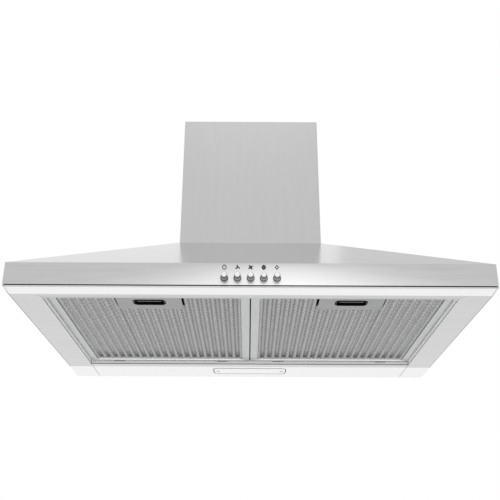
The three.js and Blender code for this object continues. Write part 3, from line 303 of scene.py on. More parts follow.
# Behind the lip a band of painted shade stands for a dip towards the recess, darker towards it, and a thin line of
# painted shade runs along its curved edge. The band ends at each side in a quarter round: its edge is at
# half_width - radius sqrt(1 - t squared), where t falls from 1 at the lip to 0.
dip_front, dip_rear, dip_share = -0.4225, -0.4112, 0.75
round_front, round_rear, half_width, radius = -0.4217, -0.4125, 0.2775, 0.0165
crease_front, crease_full, crease_half, marks_rear, soft = -0.4214, -0.4195, 0.0006, -0.3985, 0.0003
dip_shade = add(tree, "MapRange", [y, dip_front, dip_rear, 0.0, dip_share]).outputs[0]
t = add(tree, "MapRange", [y, round_front, round_rear, 1.0, 0.0]).outputs[0]
squared = add(tree, "Math", [t, t], operation="MULTIPLY").outputs[0]
root = add(tree, "Math", [1.0, squared], operation="SUBTRACT").outputs[0]
root = add(tree, "Math", [root], operation="SQRT").outputs[0]
limit = add(tree, "Math", [root, -radius, half_width], operation="MULTIPLY_ADD").outputs[0]
inside = add(tree, "Math", [limit, from_middle], operation="SUBTRACT").outputs[0]
within = add(tree, "MapRange", [inside, -soft, soft]).outputs[0]
crease_shade = add(tree, "Math", [inside, 0.0, crease_half], operation="COMPARE").outputs[0]
from_lip = add(tree, "MapRange", [y, crease_front, crease_full]).outputs[0]
off_recess = add(tree, "MapRange", [y, marks_rear, marks_rear - 0.0005]).outputs[0]
# Painted shade: the band behind the lip, and a thin line along its curved edge.
tint_where(bright_steel, overlap(tree, dip_shade, within, off_recess, looks_down), "acacac")
tint_where(bright_steel, overlap(tree, crease_shade, from_lip, off_recess, looks_down), "8c8d8d")
# The walls of the filter recess carry a dull pale grey lacquer, which hides the grease that gathers there. Along
# their lower edge they are painted darker, as painted shade.
recess_rear, recess_front, recess_side, lower_edge = -0.0855, -0.4130, 0.2622, -0.1182
lacquer_roughness = 0.62
tilt = add(tree, "Math", [upwards], operation="ABSOLUTE").outputs[0]
walls = overlap(tree, add(tree, "MapRange", [tilt, 0.5, 0.3]).outputs[0],
                add(tree, "MapRange", [y, recess_rear, recess_rear - 0.0007]).outputs[0],
                add(tree, "MapRange", [y, recess_front, recess_front + 0.001]).outputs[0],
                add(tree, "MapRange", [from_middle, recess_side, recess_side - 0.0006]).outputs[0])
lower_edge_shade = add(tree, "MapRange", [z, lower_edge, lower_edge - 0.0008]).outputs[0]
tint_where(bright_steel, walls, "f8f8f8")
# Painted shade along the lower edge of the recess walls.
tint_where(bright_steel, overlap(tree, lower_edge_shade, walls), "6e7070")
gloss_where(bright_steel, walls, lacquer_roughness)
bare = add(tree, "Math", [1.0, walls], operation="SUBTRACT").outputs[0]
tree.links.new(bare, tree.nodes["Principled BSDF"].inputs["Metallic"])
eased("underside_frame", "underside_sheet", "hood", bright_steel, 0.4)
eased("lamp_panel", "lamp_panel_sheet", "hood", bright_steel, 0.4)


# ---------------------------------------------------------------- lamp lens
# A long lens of opal acrylic with round ends is pushed up into the panel and held by a screw at each end. A
# thin grey gasket of foam shows round it.

def piece(name, points, faces, body, slot, made, stands_for=(), sharp=38):
    """A mesh from points in millimetres above the underside, whose height 120 is the frame's zero.

    Its faces are turned outwards, and edges sharper than `sharp` degrees stay crisp under smooth shading.
    """
    mesh = bpy.data.meshes.new(name)
    metres = (np.asarray(points, float) - (0.0, 0.0, 120.0)) / 1000
    mesh.from_pydata(metres.tolist(), [], faces)
    work = bmesh.new()
    work.from_mesh(mesh)
    bmesh.ops.recalc_face_normals(work, faces=work.faces)
    work.to_mesh(mesh)
    work.free()
    mesh.polygons.foreach_set("use_smooth", [True] * len(mesh.polygons))
    mesh.set_sharp_from_angle(angle=math.radians(sharp))
    mesh.materials.append(made)
    held = bpy.data.objects.new(name, mesh)
    bpy.context.scene.collection.objects.link(held)
    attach(held, body)
    if stands_for:
        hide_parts(*stands_for)
    return held


def round_box(x0, x1, y0, y1, radius, steps=7):
    """A rounded rectangle as one closed run of points: a quarter circle at each corner, straights between.

    The radius is one number, or four in the order rear right, rear left, front left, front right.
    """
    turn = np.linspace(0, math.pi / 2, steps)
    corners = ((x1, y1, -1, -1), (x0, y1, 1, -1), (x0, y0, 1, 1), (x1, y0, -1, 1))
    return np.concatenate([
        np.column_stack([x + side * r + r * np.cos(turn + k * math.pi / 2),
                         y + back * r + r * np.sin(turn + k * math.pi / 2)])
        for k, (r, (x, y, side, back)) in enumerate(zip(np.broadcast_to(radius, 4), corners))
    ])


def skin(rings, wrap=False):
    """Points and faces over two parameters: each ring is a closed run, and neighbours are joined by quads.

    With wrap the last ring joins the first; otherwise one flat face closes each end.
    """
    rings = np.asarray(rings, float)
    count, around = rings.shape[:2]
    i = np.arange(count if wrap else count - 1)[:, None]
    j = np.arange(around)[None, :]
    here, there = i * around, (i + 1) % count * around
    after = (j + 1) % around
    quads = np.stack([here + j, here + after, there + after, there + j], -1).reshape(-1, 4).tolist()
    if not wrap:
        quads += [list(range(around)), list(range((count - 1) * around, count * around))]
    return rings.reshape(-1, 3), quads


def stacked(x0, x1, y0, y1, radius, steps):
    """A rounded rectangle carried through steps of (inset, height): the outline shrinks by each inset."""
    rings = []
    for inset, height in steps:
        run = round_box(x0 + inset, x1 - inset, y0 + inset, y1 - inset, max(radius - inset, 0.05))
        rings.append(np.column_stack([run, np.full(len(run), height)]))
    return np.array(rings)


def bead(radius, top, side, count=5):
    """Steps of (inset, height) round a quarter bead: from the flat at height `top` out to the wall."""
    turn = np.linspace(0, math.pi / 2, count)
    return [(radius - radius * math.sin(t), top + side * (radius - radius * math.cos(t))) for t in turn]


def between(inner, outer, profile):
    """A section carried round a frame: each point of it is a distance from the inner or from the outer edge.

    inner and outer are closed runs of as many points. A section point (side, inset, height) lies inset
    millimetres from the inner run towards the outer one, or from the outer run towards the inner one.
    """
    run = outer - inner
    run = run / np.linalg.norm(run, axis=1, keepdims=True)
    rings = []
    for side, inset, height in profile:
        flat = inner + run * inset if side == "inner" else outer - run * inset
        rings.append(np.column_stack([flat, np.full(len(flat), height)]))
    return np.array(rings)


# Opal acrylic: clean white, with a soft gloss that sets the lens off from the panel.
lens_white = moulded("opal acrylic lens", "fafafa", "ffffff", (0.18, 0.25))
# Grey foam: a matt line round the lens.
gasket = moulded("grey foam gasket", "5a5a5a", "666666", (0.7, 0.8))
lens_half, lens_front, lens_rear, lens_radius = 60.5, -59.65, -25.15, 8.6
lens_steps = [(2.5, 3.3), (0.0, 3.3), *reversed(bead(1.4, -0.4, 1)), (8.0, -0.55)]
lens = stacked(-lens_half, lens_half, lens_front, lens_rear, lens_radius, lens_steps)
piece("lens_cover", *skin(lens), "hood", "lamp_lens", lens_white, ["lamp_lens"])
gasket_foot, gasket_head = -0.15, 0.5
gasket_inner = round_box(-60.55, 60.55, -59.7, -25.1, 8.65)
gasket_outer = round_box(-61.6, 61.6, -61.3, -23.5, 9.6)
gasket_section = [("inner", 0.0, gasket_head), ("inner", 0.0, gasket_foot),
                  ("outer", 0.0, gasket_foot), ("outer", 0.0, gasket_head)]
ring = between(gasket_inner, gasket_outer, gasket_section)
piece("lens_gasket", *skin(ring, wrap=True), "hood", "dark_plastic", gasket)


# ---------------------------------------------------------------- foam strips and painted gap shade
# Strips of cut foam are glued into the gaps between the sheets: under the fascia, round the filter recess, between
# the two filters and beside the lamp panel. The black ones are painted shade, put in the gaps so that they show as
# the fine dark lines there. The pale one round the recess hides the gap beside its walls.

def straight(section, axis, start, end, count):
    """A four-sided section carried along an axis: its points are (y, z) along X, and (x, z) along Y."""
    rings = np.empty((count, len(section), 3))
    rings[..., [1 - axis, 2]] = section
    rings[..., axis] = np.linspace(start, end, count)[:, None]
    return rings


# Black foam, painted shade: dull and nearly without a highlight, so that a gap reads as a dark line.
foam = moulded("black foam, painted gap shade", "0e0e0e", "1b1b1b", (0.8, 0.9), grit=0.9, depth=0.1,
               Specular_IOR_Level=0.1)
# Pale grey foam: it hides the gap beside the recess walls.
pale_foam = moulded("pale grey sealing foam", "e2e3e3", "eeefef", (0.75, 0.85), grit=0.9, depth=0.1)
# Painted shade: a black strip fills the groove under the fascia.
under_fascia = [(-448.95, 2.5), (-448.95, 4.5), (-447.6, 4.5), (-447.6, 2.5)]
piece("fascia_shade_strip", *skin(straight(under_fascia, 0, -298.5, 298.5, 25)), "hood", "dark_plastic", foam)
# The seal round the recess starts 6.4 mm up at the rear, over the filters' tabs, and 5.05 mm up elsewhere.
foam_foot, foam_foot_ahead, foam_head, foam_width, tabs_front = 6.4, 5.05, 13.9, 0.9, -95
round_recess = stacked(-260.9, 260.9, -410.9, -86.5, 11.9, [(0.0, foam_foot), (0.0, foam_head),
                                                            (foam_width, foam_head), (foam_width, foam_foot)])
ahead_of_tabs = (round_recess[..., 2] == foam_foot) & (round_recess[..., 1] < tabs_front)
round_recess[..., 2] = np.where(ahead_of_tabs, foam_foot_ahead, round_recess[..., 2])
piece("recess_seal", *skin(round_recess, wrap=True), "hood", "dark_plastic", pale_foam)
# Painted shade: black strips fill the gap between the filters and the seams beside the lamp panel.
between_filters = [(-0.65, 6.0), (0.65, 6.0), (0.65, 13.8), (-0.65, 13.8)]
piece("centre_shade_strip", *skin(straight(between_filters, 1, -407.9, -88.9, 25)), "hood", "dark_plastic", foam)
for side, sign in (("left", -1), ("right", 1)):
    by_panel = np.array([(260.3, 15.6), (261.4, 15.6), (261.4, 17.2), (260.3, 17.2)]) * (sign, 1)
    piece(f"seam_shade_strip_{side}", *skin(straight(by_panel, 1, -85.8, -2.2, 9)), "hood", "dark_plastic", foam)


# ---------------------------------------------------------------- grease filters
# A filter is a sheet of expanded aluminium, rolled into ribs that run from front to rear and held in a folded
# aluminium channel, which hooks in with two tabs behind. A smooth plate with a slit at each end carries the
# black handle.

def expanded_aluminium():
    """Expanded sheet: strands cross in diamonds 12 mm long and a third of a rib wide, dark holes between them.

    a = x / width + y / length and b = x / width - y / length are whole numbers along the two families of
    strands, so the larger of |cos(pi a)| and |cos(pi b)| is 1 on a strand and falls to 0 in a hole.
    """
    width, length, cloud_size = 3.87, 12, 3.8462
    made, tree, shader = surface("expanded aluminium", Metallic=1.0)
    place = add(tree, "TexCoord").outputs["Object"]
    x, y, z = add(tree, "SeparateXYZ", [place]).outputs
    across = add(tree, "Math", [x, 1000 * math.pi / width], operation="MULTIPLY").outputs[0]
    along = add(tree, "Math", [y, 1000 * math.pi / length], operation="MULTIPLY").outputs[0]
    waves = []
    for way in ("ADD", "SUBTRACT"):
        angle = add(tree, "Math", [across, along], operation=way).outputs[0]
        wave = add(tree, "Math", [angle], operation="COSINE").outputs[0]
        waves.append(add(tree, "Math", [wave], operation="ABSOLUTE").outputs[0])
    strand = add(tree, "Math", waves, operation="MAXIMUM").outputs[0]
    strand = add(tree, "MapRange", [strand, 0.4, 0.9]).outputs[0]
    cloud = add(tree, "TexNoise", {"Vector": place, "Scale": 1000 / cloud_size, "Detail": 2.0}).outputs["Fac"]
    tone = add(tree, "Mix", {"Factor": strand, "A": colour("999a9a"), "B": colour("cbcbcb")}, data_type="RGBA")
    gloss = add(tree, "MapRange", [cloud, 0.0, 1.0, 0.35, 0.6]).outputs[0]
    finish(tree, shader, tone.outputs["Result"], gloss, strand, strength=0.45, depth=0.2)
    dull = add(tree, "MapRange", [cloud, 0.35, 0.65, 0.0, 0.4]).outputs[0]
    tint_where(made, dull, "a4a5a6")
    # A crest is folded at two heights; faint lines of painted shade are drawn along the folds.
    lower_fold, upper_fold, fold_half, fold_shade_share = -0.1128, -0.1100, 0.0005, 0.13
    for fold in (lower_fold, upper_fold):
        line = add(tree, "Math", [z, fold, fold_half], operation="COMPARE").outputs[0]
        tint_where(made, overlap(tree, line, fold_shade_share), "6c6d6f")
    # The troughs are painted darker, as painted shade, most of all at the rear edge, where the frame shades them.
    trough_shade_front, trough_shade_rear, least_shade, most_shade = -0.135, -0.100, 0.06, 0.75
    flank_foot, flank_head = -0.1132, -0.1106
    trough_shade = add(tree, "MapRange", [y, trough_shade_front, trough_shade_rear, least_shade, most_shade]).outputs[0]
    trough = add(tree, "MapRange", [z, flank_foot, flank_head]).outputs[0]
    tint_where(made, overlap(tree, trough, trough_shade), "4c4d4f")
    return made


def ribbed_net(centre):
    """The ribbed sheet as a height over x and y: a flat crest and a flat trough with soft flanks between.

    The height drops from trough to crest by smooth steps of the rib's share u, and the strands of the
    expanded sheet stand 0.12 mm proud of it. Left open are the two slits beside the handle plate and the
    room that the handle reaches up into.
    """
    half, ribs, points_a_rib = 122.0, 21, 10
    slit_middle, slit_half, slit_rear = 42.0, 1.6, -353.6
    room_half, room_rear = 22.0, -369.9
    net_front, net_rear, step = -401.4, -94.3, 2.0
    strand_width, strand_length = 3.87, 12
    across = np.linspace(-half, half, ribs * points_a_rib + 1)
    edges = np.array([-slit_middle - slit_half, -slit_middle + slit_half,
                      slit_middle - slit_half, slit_middle + slit_half])
    near = np.abs(across[:, None] - edges[None, :]).min(1) < 0.5
    across = np.sort(np.concatenate([across[~near], edges]))
    along = np.concatenate([np.arange(net_front, net_rear, step), [slit_rear, room_rear]])
    along = np.unique(np.round(along, 2))
    x, y = np.meshgrid(across, along, indexing="ij")
    u = (x + half) / (2 * half / ribs) % 1.0

    def ease(low, high):
        """A smooth step of u: 0 up to low, 1 from high, and 3 t squared - 2 t cubed between."""
        t = np.clip((u - low) / (high - low), 0, 1)
        return t * t * (3 - 2 * t)

    crest = ease(0.12, 0.40) - ease(0.6, 0.88)
    a = (x + centre) / strand_width + y / strand_length
    b = (x + centre) / strand_width - y / strand_length
    strand = np.maximum(np.abs(np.cos(np.pi * a)), np.abs(np.cos(np.pi * b)))
    trough_height, rib_depth, strand_depth = 11.0, 4.4, 0.12
    z = trough_height - rib_depth * crest - strand_depth * strand
    points = np.stack([x + centre, y, z], -1).reshape(-1, 3)
    rows = len(along)
    i, j = np.meshgrid(np.arange(len(across) - 1), np.arange(rows - 1), indexing="ij")
    mid_x = np.abs((across[i] + across[i + 1]) / 2)
    mid_y = (along[j] + along[j + 1]) / 2
    slit = (np.abs(mid_x - slit_middle) < slit_half) & (mid_y < slit_rear)
    room = (mid_x < room_half) & (mid_y < room_rear)
    i, j = i[~(slit | room)], j[~(slit | room)]
    quads = np.stack([i * rows + j, i * rows + j + 1, (i + 1) * rows + j + 1, (i + 1) * rows + j], -1)
    return points, quads.tolist()


def bar_section():
    """The folded channel of a filter frame, open to the inside: rounded folds outside, 1 mm of sheet."""
    fold, foot, crown = 0.3, 5.0, 14.0
    turn = np.linspace(0, math.pi / 2, 6)
    lower = [("outer", fold - fold * math.sin(t), foot + fold - fold * math.cos(t)) for t in turn]
    upper = [("outer", fold - fold * math.cos(t), crown - fold + fold * math.sin(t)) for t in turn]
    return [("inner", 0.4, foot), *lower, *upper, ("inner", 0.3, crown), ("inner", 0.0, 13.6),
            ("inner", 0.0, 13.0), ("outer", 1.0, 13.0), ("outer", 1.0, 10.4), ("inner", 0.0, 10.4),
            ("inner", 0.0, 5.4), ("inner", 0.12, 5.12)]


def joined(*skins):
    """Several skins as one: the points one after the other, and each one's faces counted on from there."""
    points = np.concatenate([p for p, _ in skins])
    starts = np.cumsum([0] + [len(p) for p, _ in skins[:-1]])
    return points, [[k + start for k in face] for (_, faces), start in zip(skins, starts) for face in faces]


# Satin aluminium of the frames: pale, with a short fine grain. Its rear edge carries a painted white highlight.
frame_metal = metal("satin aluminium, filter frame", "c1c3c3", "cccece", (0.28, 0.38), 0.3, 12, grain="Y")
tree, _, y, _ = seated(frame_metal)
edge_highlight_middle, edge_highlight_half = -0.0968, 0.0017
# Painted highlight: a white line along the frame's rear edge.
edge_highlight = add(tree, "Math", [y, edge_highlight_middle, edge_highlight_half], operation="COMPARE").outputs[0]
tint_where(frame_metal, edge_highlight, "ffffff")
# Satin aluminium of the handle plates: a darker, even grey, which sets them off from the mesh.
plate_metal = metal("satin aluminium, handle plate", "999a9a", "a4a5a5", (0.3, 0.4), 0.3, 12)
# The mesh: a lattice of bright strands and dark holes in stripes, one stripe to a rib.
mesh_metal = expanded_aluminium()
# Black nylon: nearly no highlight, but for one painted highlight, a pale line inside the handle.
grip_black = moulded("moulded black nylon, handle", "08080a", "101012", (0.36, 0.48), Specular_IOR_Level=0.03)
tree, _, y, _ = seated(grip_black)
# Painted highlight: a pale line across the catch inside the handle.
painted_highlight_middle, painted_highlight_half = -0.3840, 0.0008
painted_highlight = add(tree, "Math", [y, painted_highlight_middle, painted_highlight_half], operation="COMPARE").outputs[0]
tint_where(grip_black, painted_highlight, "808082")
frame_half, frame_front, frame_rear, side_bar = 129.5, -408.4, -88.4, 11.5
opening_front, opening_rear, opening_radius = -397.4, -98.4, 4.0
tab_half, tab_aside, tab_front, tab_rear = 7.0, 84.5, -89.6, -82.9
tab_steps = [(0.3, 5.0), (0.0, 5.3), (0.0, 5.9), (0.3, 6.2)]
for side, centre in (("left", -130.3), ("right", 130.3)):
    body = f"filter_{side}"
    x0, x1 = centre - frame_half, centre + frame_half
    radii = (1.5, 6.5, 6.5, 1.5) if side == "left" else (6.5, 1.5, 1.5, 6.5)
    outer = round_box(x0, x1, frame_front, frame_rear, radii, steps=10)
    inner = round_box(x0 + side_bar, x1 - side_bar, opening_front, opening_rear, opening_radius, steps=10)
    bars = skin(between(inner, outer, bar_section()), wrap=True)
    tabs = [skin(stacked(x - tab_half, x + tab_half, tab_front, tab_rear, 2.0, tab_steps))
            for x in (centre - tab_aside, centre + tab_aside)]
    piece(f"frame_bars_{side}", *joined(bars, *tabs), body, "aluminium", frame_metal, [f"filter_frame_{side}"])

    net = piece(f"ribbed_net_{side}", *ribbed_net(centre), body, "aluminium_mesh", mesh_metal,
                [f"filter_mesh_{side}"], sharp=80)
    sheet = net.modifiers.new("sheet thickness", "SOLIDIFY")
    sheet.thickness, sheet.offset = 0.0009, -1.0

    plate_half, well_half, plate_foot, plate_head = 42, 21.1, 5.0, 6.0
    plate_out = round_box(centre - plate_half, centre + plate_half, -397.2, -354.4, 1.0)
    plate_in = round_box(centre - well_half, centre + well_half, -391.0, -370.8, 6.1)
    plate = between(plate_in, plate_out, [("inner", 0.0, plate_foot + 0.2), ("inner", 0.2, plate_foot),
                                          ("outer", 0.3, plate_foot), ("outer", 0.0, plate_foot + 0.3),
                                          ("outer", 0.0, plate_head), ("inner", 0.0, plate_head)])
    piece(f"handle_sheet_{side}", *skin(plate, wrap=True), body, "aluminium", plate_metal,
          [f"handle_plate_{side}"])

    grip_half, lip_width, lip_foot, well_height, grip_head = 21, 2.4, 4.5, 10.5, 11.7
    grip_steps = [(6.0, grip_head), (0.8, grip_head), (0.0, 10.9), *reversed(bead(1.0, lip_foot, 1)),
                  *[(lip_width - i, h) for i, h in bead(0.9, lip_foot, 1)],
                  (lip_width, 10.0), (2.9, well_height), (6.5, well_height)]
    grip = stacked(centre - grip_half, centre + grip_half, -390.9, -370.9, 6.0, grip_steps)
    piece(f"grip_{side}", *skin(grip), body, "black_plastic", grip_black, [f"filter_grip_{side}"])
    eased(f"filter_catch_{side}", f"catch_block_{side}", f"catch_{side}", grip_black, 0.4)


# ---------------------------------------------------------------- buttons
# Each button is a cap of chromed ABS on a stem, with fine ribs along its barrel for grip. It slides in a round
# hole of the fascia, and a spring in the switch block behind pushes it out.

def turned_cap(centre_x, height):
    """A button as a profile turned about its axis, which runs from front to rear.

    The profile is (radius, y). On the barrel the radius gains and loses a tenth of a millimetre 30 times
    round, which makes the ribs; the gain dies away on the face and on the stem.
    """
    stem, barrel, edge, front = 2.3, 4.1, 1.3, -461.1
    rib_height, ribs, rib_start = 0.1, 30, -450.7
    turn = np.linspace(0, math.pi / 2, 6)
    rim = [(barrel - edge + edge * math.cos(t), front + edge - edge * math.sin(t)) for t in turn]
    profile = np.array([(stem, -433.5), (stem, -447.5), (3.8, -447.5), (barrel, -447.8), (barrel, -450.6),
                        (barrel, -451.2), (barrel, -455.6), (barrel, -457.5), *rim, (2.3, -461.3),
                        (1.6, -461.43), (0.6, -461.5)])
    ribbed = ((profile[:, 0] > 3.9) & (profile[:, 1] < rib_start)).astype(float)
    angle = np.linspace(0, 2 * math.pi, 120, endpoint=False)
    radius = profile[:, :1] + rib_height * ribbed[:, None] * np.cos(ribs * angle)[None, :]
    deep = np.broadcast_to(profile[:, 1:], radius.shape)
    return np.stack([centre_x + radius * np.cos(angle), deep, height + radius * np.sin(angle)], -1)


# Bright chrome of the face: it mirrors the white room and reads as a white dot.
chrome = moulded("bright chrome on ABS, button face", "e9e9ea", "f2f2f2", (0.1, 0.16), Metallic=1.0)
# Satin chrome of the barrel's lower half: dark and light specks, with painted reflection that makes it darkest in
# front and white at its foot.
barrel_chrome = metal("satin chrome on ABS, button barrel", "68686a", "bcbcbd", (0.25, 0.4), 1.1, 1.1,
                      wide=0.0016)
tree, _, y, _ = seated(barrel_chrome)
# Painted reflection: white at the barrel's foot and darker in front.
foot_reflection = add(tree, "MapRange", [y, -0.4535, -0.4495]).outputs[0]
front_dark_reflection = add(tree, "MapRange", [y, -0.4560, -0.4590, 0.0, 0.6]).outputs[0]
tint_where(barrel_chrome, foot_reflection, "ffffff")
tint_where(barrel_chrome, front_dark_reflection, "3c3c3e")
# Satin chrome of the rim and the barrel's upper half: a pale grey edge round the bright face.
rim_chrome = moulded("satin chrome on ABS, button rim", "c4c4c6", "d0d0d2", (0.2, 0.3), Metallic=1.0)
button_height, button_pitch = 12.8, 16.0
face_radius, fascia_rear, lower_half = 0.0029, -0.4470, -0.1080
for k, name in enumerate(("button_off", "button_speed_1", "button_speed_2", "button_speed_3", "button_light")):
    centre_x = button_pitch * (k - 2)
    cap = piece(name + "_cap", *skin(turned_cap(centre_x, button_height)), name, "chromed_plastic", chrome,
                [name], sharp=50)
    cap.data.materials.append(barrel_chrome)
    cap.data.materials.append(rim_chrome)
    middles = np.zeros(len(cap.data.polygons) * 3)
    cap.data.polygons.foreach_get("center", middles)
    x, y, z = middles.reshape(-1, 3).T
    from_axis = np.hypot(x - centre_x / 1000, z - (button_height - 120) / 1000)
    outside = (from_axis > face_radius) & (y < fascia_rear)
    cap.data.polygons.foreach_set("material_index", np.where(outside, np.where(z < lower_half, 1, 2), 0))


# ---------------------------------------------------------------- symbols over the buttons
# A small dark grey sign is screen-printed above each button: a ring for off, fans of three, four and eight
# blades for the speeds, and a square on its corner for the lamp. The ink is drawn thicker than it is, 0.1 mm.

def print_flat(outline, centre_x):
    """A printed shape: an outline in x and height drawn flat on the band, a tenth of a millimetre thick."""
    sign_height, band_face, ink_thickness = 26.7, -450.0, 0.1
    rings = [np.column_stack([outline[:, 0] + centre_x, np.full(len(outline), y), outline[:, 1] + sign_height])
             for y in (band_face, band_face - ink_thickness)]
    return np.array(rings)


def circle(radius, count=40):
    """A circle as a closed run of points round zero, a little taller than wide as the symbols are printed."""
    angle = np.linspace(0, 2 * math.pi, count, endpoint=False)
    return radius * np.column_stack([0.9 * np.cos(angle), 1.1 * np.sin(angle)])


def ring_print(outer, inner, centre_x):
    """A printed ring: its outer and inner outlines on both levels, joined all the way round."""
    top, low = print_flat(outer, centre_x), print_flat(inner, centre_x)
    return np.array([top[0], top[1], low[1], low[0]])


def blades(count, reach, swell, lean, start):
    """Fan blades: each is a leaf from the hub outwards, its width a sine of the way along, leaning a little."""
    way = np.linspace(0, 1, 12)
    back = way[-2::-1]
    side = np.concatenate([swell * np.sin(math.pi * way ** 0.75), -0.45 * swell * np.sin(math.pi * back)])
    out = np.concatenate([way, back])
    leaf = np.column_stack([out * reach, side + lean * out ** 2])[1:-1]
    turns = [2 * math.pi * k / count + start for k in range(count)]
    return [leaf @ np.array([[math.cos(a), math.sin(a)], [-math.sin(a), math.cos(a)]]) for a in turns]


# Screen ink: a matt dark grey that stands out from the steel without a shine of its own.
ink = moulded("dark grey screen-printed ink", "1e1e1e", "2c2c2c", (0.5, 0.6))
square = circle(1.0, 4)
round_the_disc = np.linspace(0, 2 * math.pi, 96, endpoint=False)
petals = circle(1.0, 96) * (2.9 + 0.5 * np.cos(8 * round_the_disc))[:, None]
over_off, over_1, over_2, over_3, over_light = [button_pitch * k for k in range(-2, 3)]
prints = {
    "symbol_off": [skin(ring_print(circle(3.0), circle(2.0), over_off), wrap=True),
                   skin(print_flat(square * (0.9, 0.35), over_off))],
    "symbol_speed_1": [skin(print_flat(leaf, over_1)) for leaf in blades(3, 3.6, 1.4, -0.6, 1.70)]
    + [skin(print_flat(circle(0.8, 16), over_1))],
    "symbol_speed_2": [skin(print_flat(leaf, over_2)) for leaf in blades(4, 3.6, 1.5, 1.0, 1.85)]
    + [skin(print_flat(circle(0.9, 16), over_2))],
    "symbol_speed_3": [skin(ring_print(petals, circle(0.35, 96), over_3), wrap=True)],
    "symbol_light": [skin(ring_print(square * 3.0, square * 1.5, over_light), wrap=True)],
}
for name, skins in prints.items():
    piece(name, *joined(*skins), "hood", "dark_plastic", ink)


# ---------------------------------------------------------------- chimney
# Two folded channels of the same stainless, one inside the other, hide the duct. The lower one is screwed to
# the deck, and the upper one slides up and is screwed to a galvanised bracket on the wall.

# Brushed stainless, the grain along its height: softer than the canopy, so that it shows an even pale grey.
chimney_steel = metal("brushed stainless steel, chimney", "bebebe", "c1c1c1", (0.23, 0.26), 0.35, 90,
                      grain="Z", depth=0.01, turned=0.5)
eased("chimney_cover_lower", "chimney_lower_sheet", "hood", chimney_steel, 0.45)
eased("chimney_cover_upper", "chimney_upper_sheet", "upper_chimney", chimney_steel, 0.4)
wear(zinc, "chimney_bracket")


# ---------------------------------------------------------------- floor and room
# The hood hangs in a white studio, well above a pale painted floor. The floor takes soft shade, but mirrors see
# it as white, and it runs out to plain white where its edge would show.

floor_height, floor_reach, fade_start, fade_end = -1.6, 7.0, 2.0, 4.5
floor_mesh = bpy.data.meshes.new("floor")
floor_mesh.from_pydata([(-floor_reach, -floor_reach, floor_height), (floor_reach, -floor_reach, floor_height),
                        (floor_reach, floor_reach, floor_height), (-floor_reach, floor_reach, floor_height)],
                       [], [(0, 1, 2, 3)])
floor = bpy.data.objects.new("floor", floor_mesh)
bpy.context.scene.collection.objects.link(floor)
# Pale floor paint: matt, nearly white.
floor_paint, tree, shader = surface("pale floor", Roughness=0.7)
shader.inputs["Base Color"].default_value = colour("f4f4f4")
rays = add(tree, "LightPath").outputs
glossy, through = rays["Is Glossy Ray"], rays["Is Transmission Ray"]
mirrored = add(tree, "Math", [glossy, through], operation="MAXIMUM").outputs[0]
place = add(tree, "TexCoord").outputs["Object"]
away = add(tree, "VectorMath", [place], operation="LENGTH").outputs["Value"]
far_off = add(tree, "MapRange", [away, fade_start, fade_end]).outputs[0]
seen_far = overlap(tree, far_off, rays["Is Camera Ray"])
share = add(tree, "Math", [mirrored, seen_far], operation="MAXIMUM").outputs[0]
white = add(tree, "Emission", {"Color": colour("ffffff"), "Strength": 1.0}).outputs[0]
mixed = add(tree, "MixShader", [share, shader.outputs[0], white]).outputs[0]
tree.links.new(mixed, tree.nodes["Material Output"].inputs["Surface"])
floor_mesh.materials.append(floor_paint)

# The camera and the mirrors see the room at a strength of 1, which is white, and it lights things at 0.95.
as_light, as_seen = 0.95, 1.0
world = bpy.data.worlds.new("white studio")
bpy.context.scene.world = world
world.use_nodes = True
tree = world.node_tree
rays = add(tree, "LightPath").outputs
seen = add(tree, "Math", [rays["Is Camera Ray"], rays["Is Glossy Ray"]], operation="MAXIMUM").outputs[0]
seen = add(tree, "Math", [seen, rays["Is Transmission Ray"]], operation="MAXIMUM").outputs[0]
power = add(tree, "MapRange", [seen, 0.0, 1.0, as_light, as_seen]).outputs[0]
background = tree.nodes["Background"]
background.inputs["Color"].default_value = colour("ffffff")
tree.links.new(power, background.inputs["Strength"])


# ---------------------------------------------------------------- lamps and grey card
# A large soft box stands high on the left and a small one high in front. A grey card behind on the right is
# seen only in polished metal, where it shades the right-hand slope.

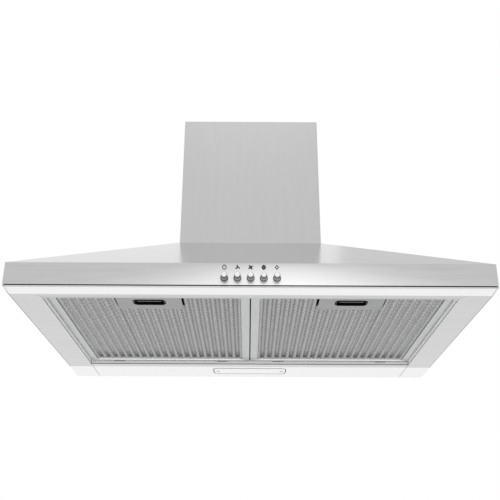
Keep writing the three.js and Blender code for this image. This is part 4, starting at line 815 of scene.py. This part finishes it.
def lamp(name, place, aim, size, power):
    """A square soft box of `size` metres at `place`, turned to `aim`. It lights, but the camera doesn't see it."""
    data = bpy.data.lights.new(name, "AREA")
    data.shape, data.size, data.energy = "SQUARE", size, power
    made = bpy.data.objects.new(name, data)
    made.location = place
    made.rotation_euler = (Vector(aim) - Vector(place)).to_track_quat("-Z", "Y").to_euler()
    made.visible_camera = False
    bpy.context.scene.collection.objects.link(made)


lamp("key soft box", (-2.2, -1.6, 2.6), (0, -0.2, 0.05), 2.6, 10)
lamp("high front soft box", (0.0, -2.58, 2.4), (0, -0.2, 0.2), 0.9, 1.1)

card_mesh = bpy.data.meshes.new("grey_card")
x0, x1, z0, z1, behind = 0.55, 3.5, 0.9, 3.6, 2.6
card_mesh.from_pydata([(x0, behind, z0), (x1, behind, z0), (x1, behind, z1), (x0, behind, z1)], [], [(0, 1, 2, 3)])
card = bpy.data.objects.new("grey_card", card_mesh)
bpy.context.scene.collection.objects.link(card)
card.visible_camera = card.visible_diffuse = card.visible_shadow = False
# Grey card: one even tone that doesn't change with the light on it.
card_paint, _, shader = surface("grey card")
shader.inputs["Base Color"].default_value = colour("000000")
shader.inputs["Emission Color"].default_value = colour("dcdcdc")
shader.inputs["Emission Strength"].default_value = 1.0
card_mesh.materials.append(card_paint)


# ---------------------------------------------------------------- camera
# The camera stands 1.3 m in front and 0.44 m below the hood's zero and looks up at it. Place, turn and lens
# were fitted to 16 corners of the photographed hood.

camera_data = bpy.data.cameras.new("camera")
camera_data.lens, camera_data.sensor_width = 54.53, 36
camera = bpy.data.objects.new("camera", camera_data)
pitch, yaw, roll = math.radians(23.145), math.radians(-0.068), math.radians(0.250)
turns = ((yaw, "Z"), (math.pi / 2 + pitch, "X"), (roll, "Z"))
first, second, third = [Matrix.Rotation(angle, 4, axis) for angle, axis in turns]
camera.matrix_world = Matrix.Translation((-0.0019, -1.3070, -0.4367)) @ (first @ second @ third)
bpy.context.scene.collection.objects.link(camera)
bpy.context.scene.camera = camera
bpy.context.scene.view_settings.view_transform = "Standard"
